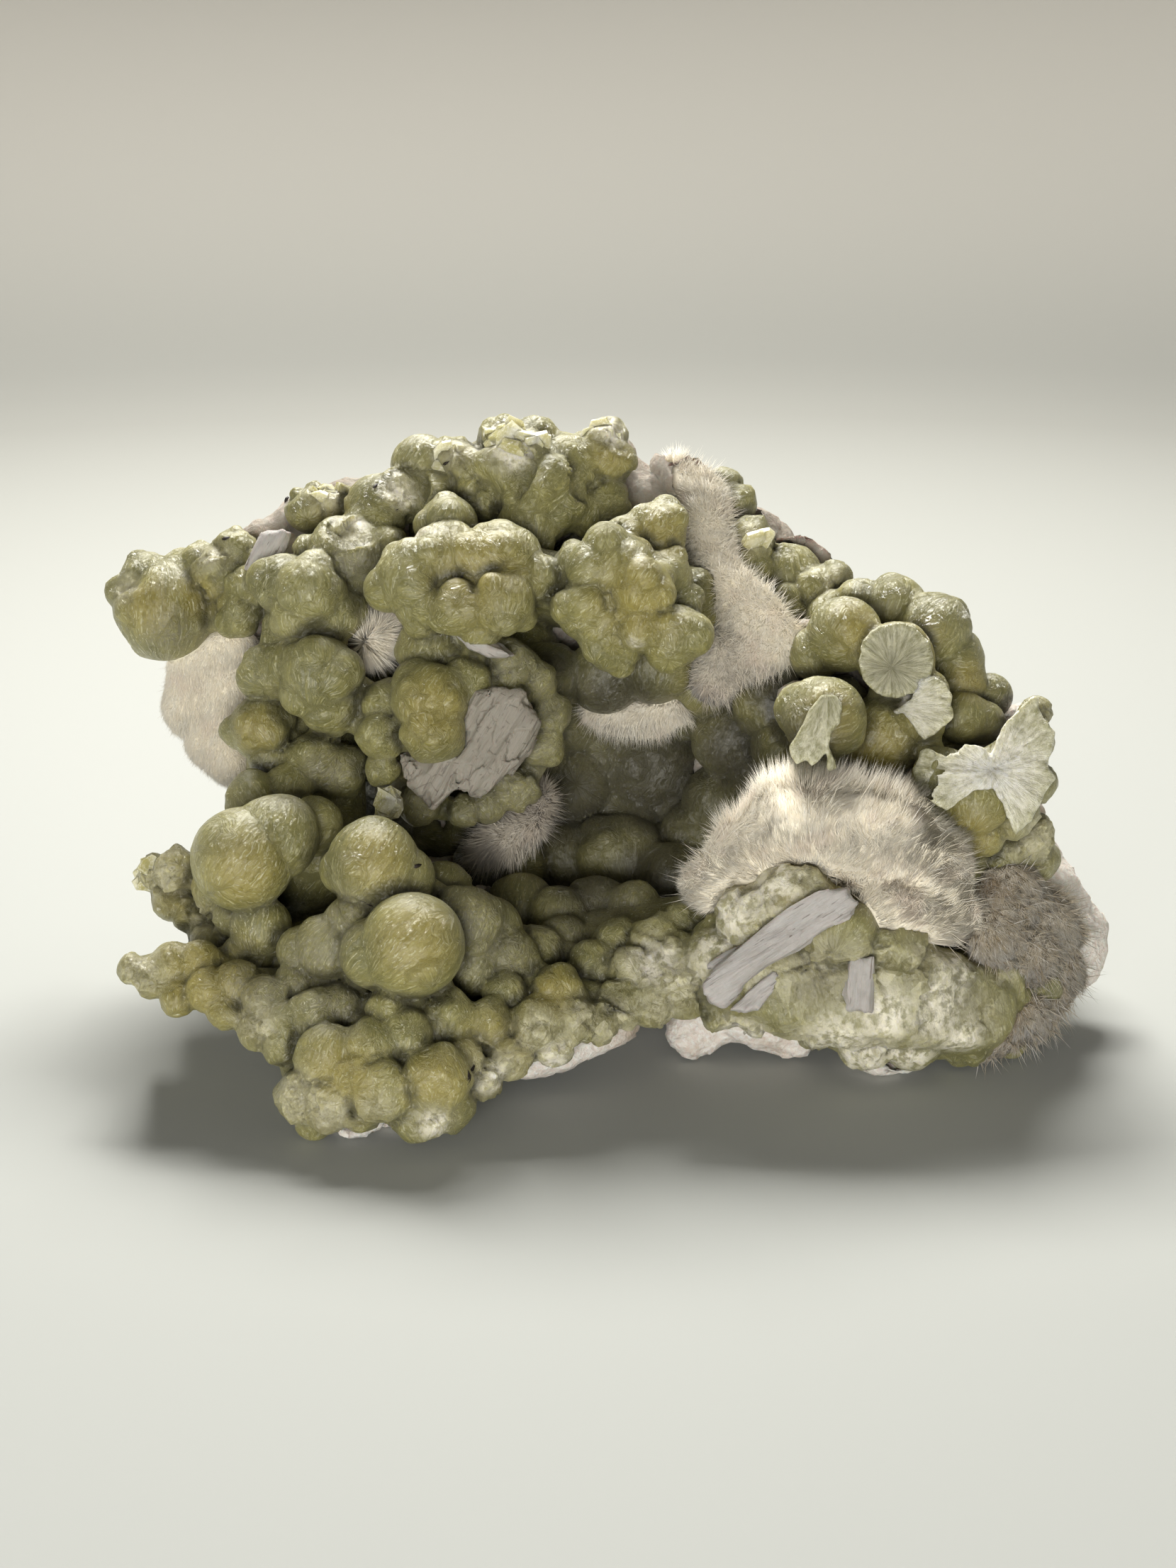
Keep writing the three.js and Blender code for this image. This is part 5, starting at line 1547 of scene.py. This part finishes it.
def broken_rind(tree):
    """Altered basalt rind, broken: a chalky off-white that takes a pink and brown stain and weathers to
    grey behind, with no shine, and painted shade darkens its creases. Stains are 8 mm across, grit 0.9 mm
    and pits 0.6 mm."""
    where = millimetres(tree)
    opened = add(tree, "Attribute", attribute_name="open")["Fac"]
    cloud = add(tree, "TexNoise", {"Vector": where, "Scale": 0.12, "Detail": 4.0})[0]
    pits = add(tree, "TexNoise", {"Vector": where, "Scale": 1.6, "Detail": 5.0, "Roughness": 0.7})[0]
    grit = add(tree, "TexVoronoi", {"Vector": where, "Scale": 1.1})["Distance"]
    white = add(tree, "MapRange", {0: pits, 1: 0.42, 2: 0.6})[0]
    stain = add(tree, "MapRange", {0: cloud, 1: 0.56, 2: 0.72, 4: 0.7})[0]
    behind = add(tree, "SeparateXYZ", {0: where})[1]
    behind = add(tree, "MapRange", {0: behind, 1: 0.0, 2: 22.0, 4: 0.8})[0]
    weathered = layered(tree, "#A89C8A", (cloud, "#82776A"))
    # Painted shade in the creases.
    painted_crease_shade = add(tree, "MapRange", {0: opened, 1: 0.2, 2: 0.7, 3: 0.45, 4: 0.0})[0]
    body = layered(
        tree, "#EEE6DA", (cloud, "#E2D2C6"), (white, "#F6F2EA"), (stain, "#B59F84"), (behind, weathered),
        (painted_crease_shade, "#8A7F70"),
    )
    height = add(tree, "Math", {0: grit, 1: 0.5, 2: pits}, operation="MULTIPLY_ADD")[0]
    return {
        "Base Color": body,
        "Roughness": 0.92,
        "Specular IOR Level": 0.3,
        "Subsurface Weight": 0.1,
        "Subsurface Scale": 1.0 * MM,
        "Normal": add(tree, "Bump", {"Height": height, "Strength": 0.8, "Distance": 0.5 * MM})[0],
    }


def okenite_fibre(tree, root, tip, other_tip, stain):
    """Okenite fibre: silky, lighter and brighter towards the tips, with a faint stain in patches 4.5 mm
    across, a random share of fibres painted near white as glints, and painted shade in a dull brown deep
    in the vug."""
    fibre = add(tree, "Attribute", attribute_name="fibre")["Vector"]
    along, tone, own = add(tree, "SeparateXYZ", {0: fibre})
    cloud = add(tree, "TexNoise", {"Vector": millimetres(tree), "Scale": 0.22, "Detail": 3.0})[0]
    patch = add(tree, "MapRange", {0: cloud, 1: 0.52, 2: 0.7, 4: 0.75})[0]
    tips = layered(tree, tip, (tone, other_tip), (patch, stain))
    reach = add(tree, "MapRange", {0: along, 1: 0.0, 2: 0.7})[0]
    # Painted glints: a random share of fibres turned near white, as if they caught the light.
    painted_fibre_glint = add(tree, "MapRange", {0: own, 1: 0.7, 2: 1.0, 4: 0.5})[0]
    # Painted shade in a dull brown, deep in the vug.
    dull = add(tree, "Attribute", attribute_name="dull")["Fac"]
    dull = add(tree, "Math", {0: dull, 1: 0.8}, operation="MULTIPLY")[0]
    return {
        "Base Color": layered(tree, root, (reach, tips), (painted_fibre_glint, "#FEFDFB"), (dull, "#85786A")),
        "Roughness": 0.5,
        "IOR": 1.53,
        "Specular IOR Level": 0.4,
        "Sheen Weight": 0.25,
        "Sheen Roughness": 0.4,
    }


def dry_laumontite(tree, blocky_and_shaded):
    """Dehydrated laumontite: chalky white with a lilac cast, striated every 0.4 mm along its length, in
    chalky patches 0.8 mm across, and cracked across. The blockier it is, the more painted shade darkens it."""
    run = add(tree, "Attribute", attribute_name="grain")["Vector"]
    strand = add(tree, "VectorMath", {0: run, 1: (0.12, 1, 1)}, operation="MULTIPLY")[0]
    lines = add(tree, "TexNoise", {"Vector": strand, "Scale": 2.6, "Detail": 4.0, "Roughness": 0.65})[0]
    chalk = add(tree, "TexNoise", {"Vector": run, "Scale": 1.2, "Detail": 4.0})[0]
    shade = add(tree, "MapRange", {0: lines, 1: 0.5, 2: 0.75, 4: 0.55})[0]

    # Cracks between blocks 1.3 to 3 mm across, in patches, and dark slits 0.35 mm wide along the grain.
    block = (0.35 + 0.25 * blocky_and_shaded, 0.9 - 0.3 * blocky_and_shaded, 0.5)
    block = add(tree, "VectorMath", {0: run, 1: block}, operation="MULTIPLY")[0]
    cracks = add(tree, "TexVoronoi", {"Vector": block, "Scale": 0.9}, feature="DISTANCE_TO_EDGE")[0]
    patch = add(tree, "MapRange", {0: chalk, 1: 0.5, 2: 0.6})[0]
    crack = add(tree, "MapRange", {0: cracks, 1: 0.02, 2: 0.045, 3: 1.0, 4: 0.0})[0]
    crack = add(tree, "Math", {0: crack, 1: patch}, operation="MULTIPLY")[0]
    crack = add(tree, "Math", {0: crack, 1: 0.5 * blocky_and_shaded}, operation="MULTIPLY")[0]
    slits = add(tree, "VectorMath", {0: run, 1: (0.5, 3.2, 1)}, operation="MULTIPLY")[0]
    slits = add(tree, "TexNoise", {"Vector": slits, "Scale": 0.9, "Detail": 2.0, "Roughness": 0.4})[0]
    slits = add(tree, "MapRange", {0: slits, 1: 0.66, 2: 0.7, 4: 0.7})[0]
    # Painted shade darkens the blockier pieces, which lie in the shade of the brow, to grey-cream.
    body = layered(
        tree, "#C4C0BC", (chalk, "#ACA6A1"), (0.7 * blocky_and_shaded, "#857D69"), (shade, "#958C84"),
        (crack, "#5E544A"), (slits, "#6B625A"),
    )
    height = add(tree, "Math", {0: crack, 1: -0.25, 2: lines}, operation="MULTIPLY_ADD")[0]
    return {
        "Base Color": body,
        "Roughness": 0.62,
        "IOR": 1.52,
        "Subsurface Weight": 0.15,
        "Subsurface Scale": 0.8 * MM,
        "Normal": add(tree, "Bump", {"Height": height, "Strength": 0.7, "Distance": 0.3 * MM})[0],
    }


def dark_fleck(tree):
    """Dark organic or manganese flecks: nearly black and dull."""
    cloud = add(tree, "TexNoise", {"Vector": millimetres(tree), "Scale": 2.0})[0]
    return {"Base Color": layered(tree, "#17120E", (cloud, "#33261C")), "Roughness": 0.6}


def pale_board(tree):
    """Matt pale board in light grey, with painted shade that darkens it away from the middle, and painted
    light that makes it lighter and warmer up the wall.
    """
    flat = {0: millimetres(tree), 1: (1, 1, 0), 2: (0, 120, 0)}
    flat = add(tree, "VectorMath", flat, operation="MULTIPLY_ADD")[0]
    radius = add(tree, "VectorMath", {0: flat}, operation="LENGTH")["Value"]
    # Painted shade away from the middle, and painted light up the wall.
    near = add(tree, "MapRange", {0: radius, 1: 160.0, 2: 500.0})[0]
    far = add(tree, "MapRange", {0: radius, 1: 570.0, 2: 820.0}, interpolation_type="SMOOTHSTEP")[0]
    body = layered(tree, "#B2B4B0", (near, "#8F8F8A"), (far, "#C1BEB6"))
    return {"Base Color": body, "Roughness": 0.7, "Specular IOR Level": 0.2}


def make_stage():
    """A pale floor that curves up all round."""
    profile = [(FLOOR_RADIUS, 0.0)]
    bend = WALL_RADIUS - FLOOR_RADIUS
    for i in range(1, BEND_STEPS + 1):
        turn = math.pi / 2 * i / BEND_STEPS
        profile.append((FLOOR_RADIUS + bend * math.sin(turn), bend * (1 - math.cos(turn))))
    profile.append((WALL_RADIUS, WALL_HEIGHT))
    sides = np.arange(FLOOR_SIDES)
    turns = sides * 2 * math.pi / FLOOR_SIDES
    circle = np.stack((np.cos(turns), np.sin(turns), np.ones(FLOOR_SIDES)), -1)
    rings = [circle * [radius, radius, height] for radius, height in profile]
    points = np.concatenate(([[0.0, 0.0, 0.0]], *rings))
    first = 1 + sides
    after = 1 + (sides + 1) % FLOOR_SIDES
    faces = np.stack((np.zeros_like(first), first, after), -1).tolist()
    for start in range(0, FLOOR_SIDES * (len(rings) - 1), FLOOR_SIDES):
        end = start + FLOOR_SIDES
        faces += np.stack((first + start, first + end, after + end, after + start), -1).tolist()
    mesh = bpy.data.meshes.new("pale_floor")
    mesh.from_pydata((points * MM).tolist(), [], faces)
    mesh.shade_smooth()
    mesh.materials.append(finish("matt pale board", pale_board))
    shown("pale_floor", mesh)


def aimed(made, seat, aim):
    """Puts a light or a camera at a seat in millimetres, pointed at a place."""
    made.location = Vector(seat) * MM
    made.rotation_mode = "QUATERNION"
    made.rotation_quaternion = (Vector(aim) - Vector(seat)).to_track_quat("-Z", "Y")
    return made


def make_lights():
    for name, (seat, aim, side, watts, tint) in LIGHTS.items():
        data = bpy.data.lights.new(name, "AREA")
        data.shape = "SQUARE"
        data.size = side * MM
        data.energy = watts
        data.color = colour(tint)[:3]
        aimed(shown(name, data), seat, aim)
    world = bpy.data.worlds.new("room")
    world.use_nodes = True
    room = world.node_tree.nodes["Background"].inputs
    room["Color"].default_value = colour(ROOM_TINT)
    room["Strength"].default_value = ROOM_STRENGTH
    bpy.context.scene.world = world
    bpy.context.scene.view_settings.view_transform = "Standard"


def make_camera():
    """The viewer in front of the vug, who looks down on it a little."""
    data = bpy.data.cameras.new("viewer")
    data.sensor_width = SENSOR
    data.lens = SENSOR * VIEW_DISTANCE / PICTURE_HEIGHT
    data.clip_start = 0.01
    data.clip_end = 10
    middle = place([0.0, 0.0, 0.0])
    bpy.context.scene.camera = aimed(shown("viewer", data), middle + TO_VIEWER * VIEW_DISTANCE, middle)


def make_specimen():
    host = host_field()
    guests = guest_field()
    prehnite, lobes = lobe_field(host)
    host.clear(prehnite, STONE_GAP)
    add_crust(prehnite)
    prehnite.clear(host, STONE_GAP)
    stones = (prehnite, host)
    for stone in stones:
        stone.clear(guests, GUEST_GAP)
    make_prehnite(prehnite, lobes, host)
    make_host(host, prehnite)
    for seed, name in enumerate(TUFTS, TUFT_SEED):
        make_tuft(name, stones, seed)
    for seed, name in enumerate(LATHS, LATH_SEED):
        make_lath(name, seed)
    make_blades()
    make_fans()
    make_flecks(stones)


make_camera()
make_stage()
make_lights()
make_specimen()
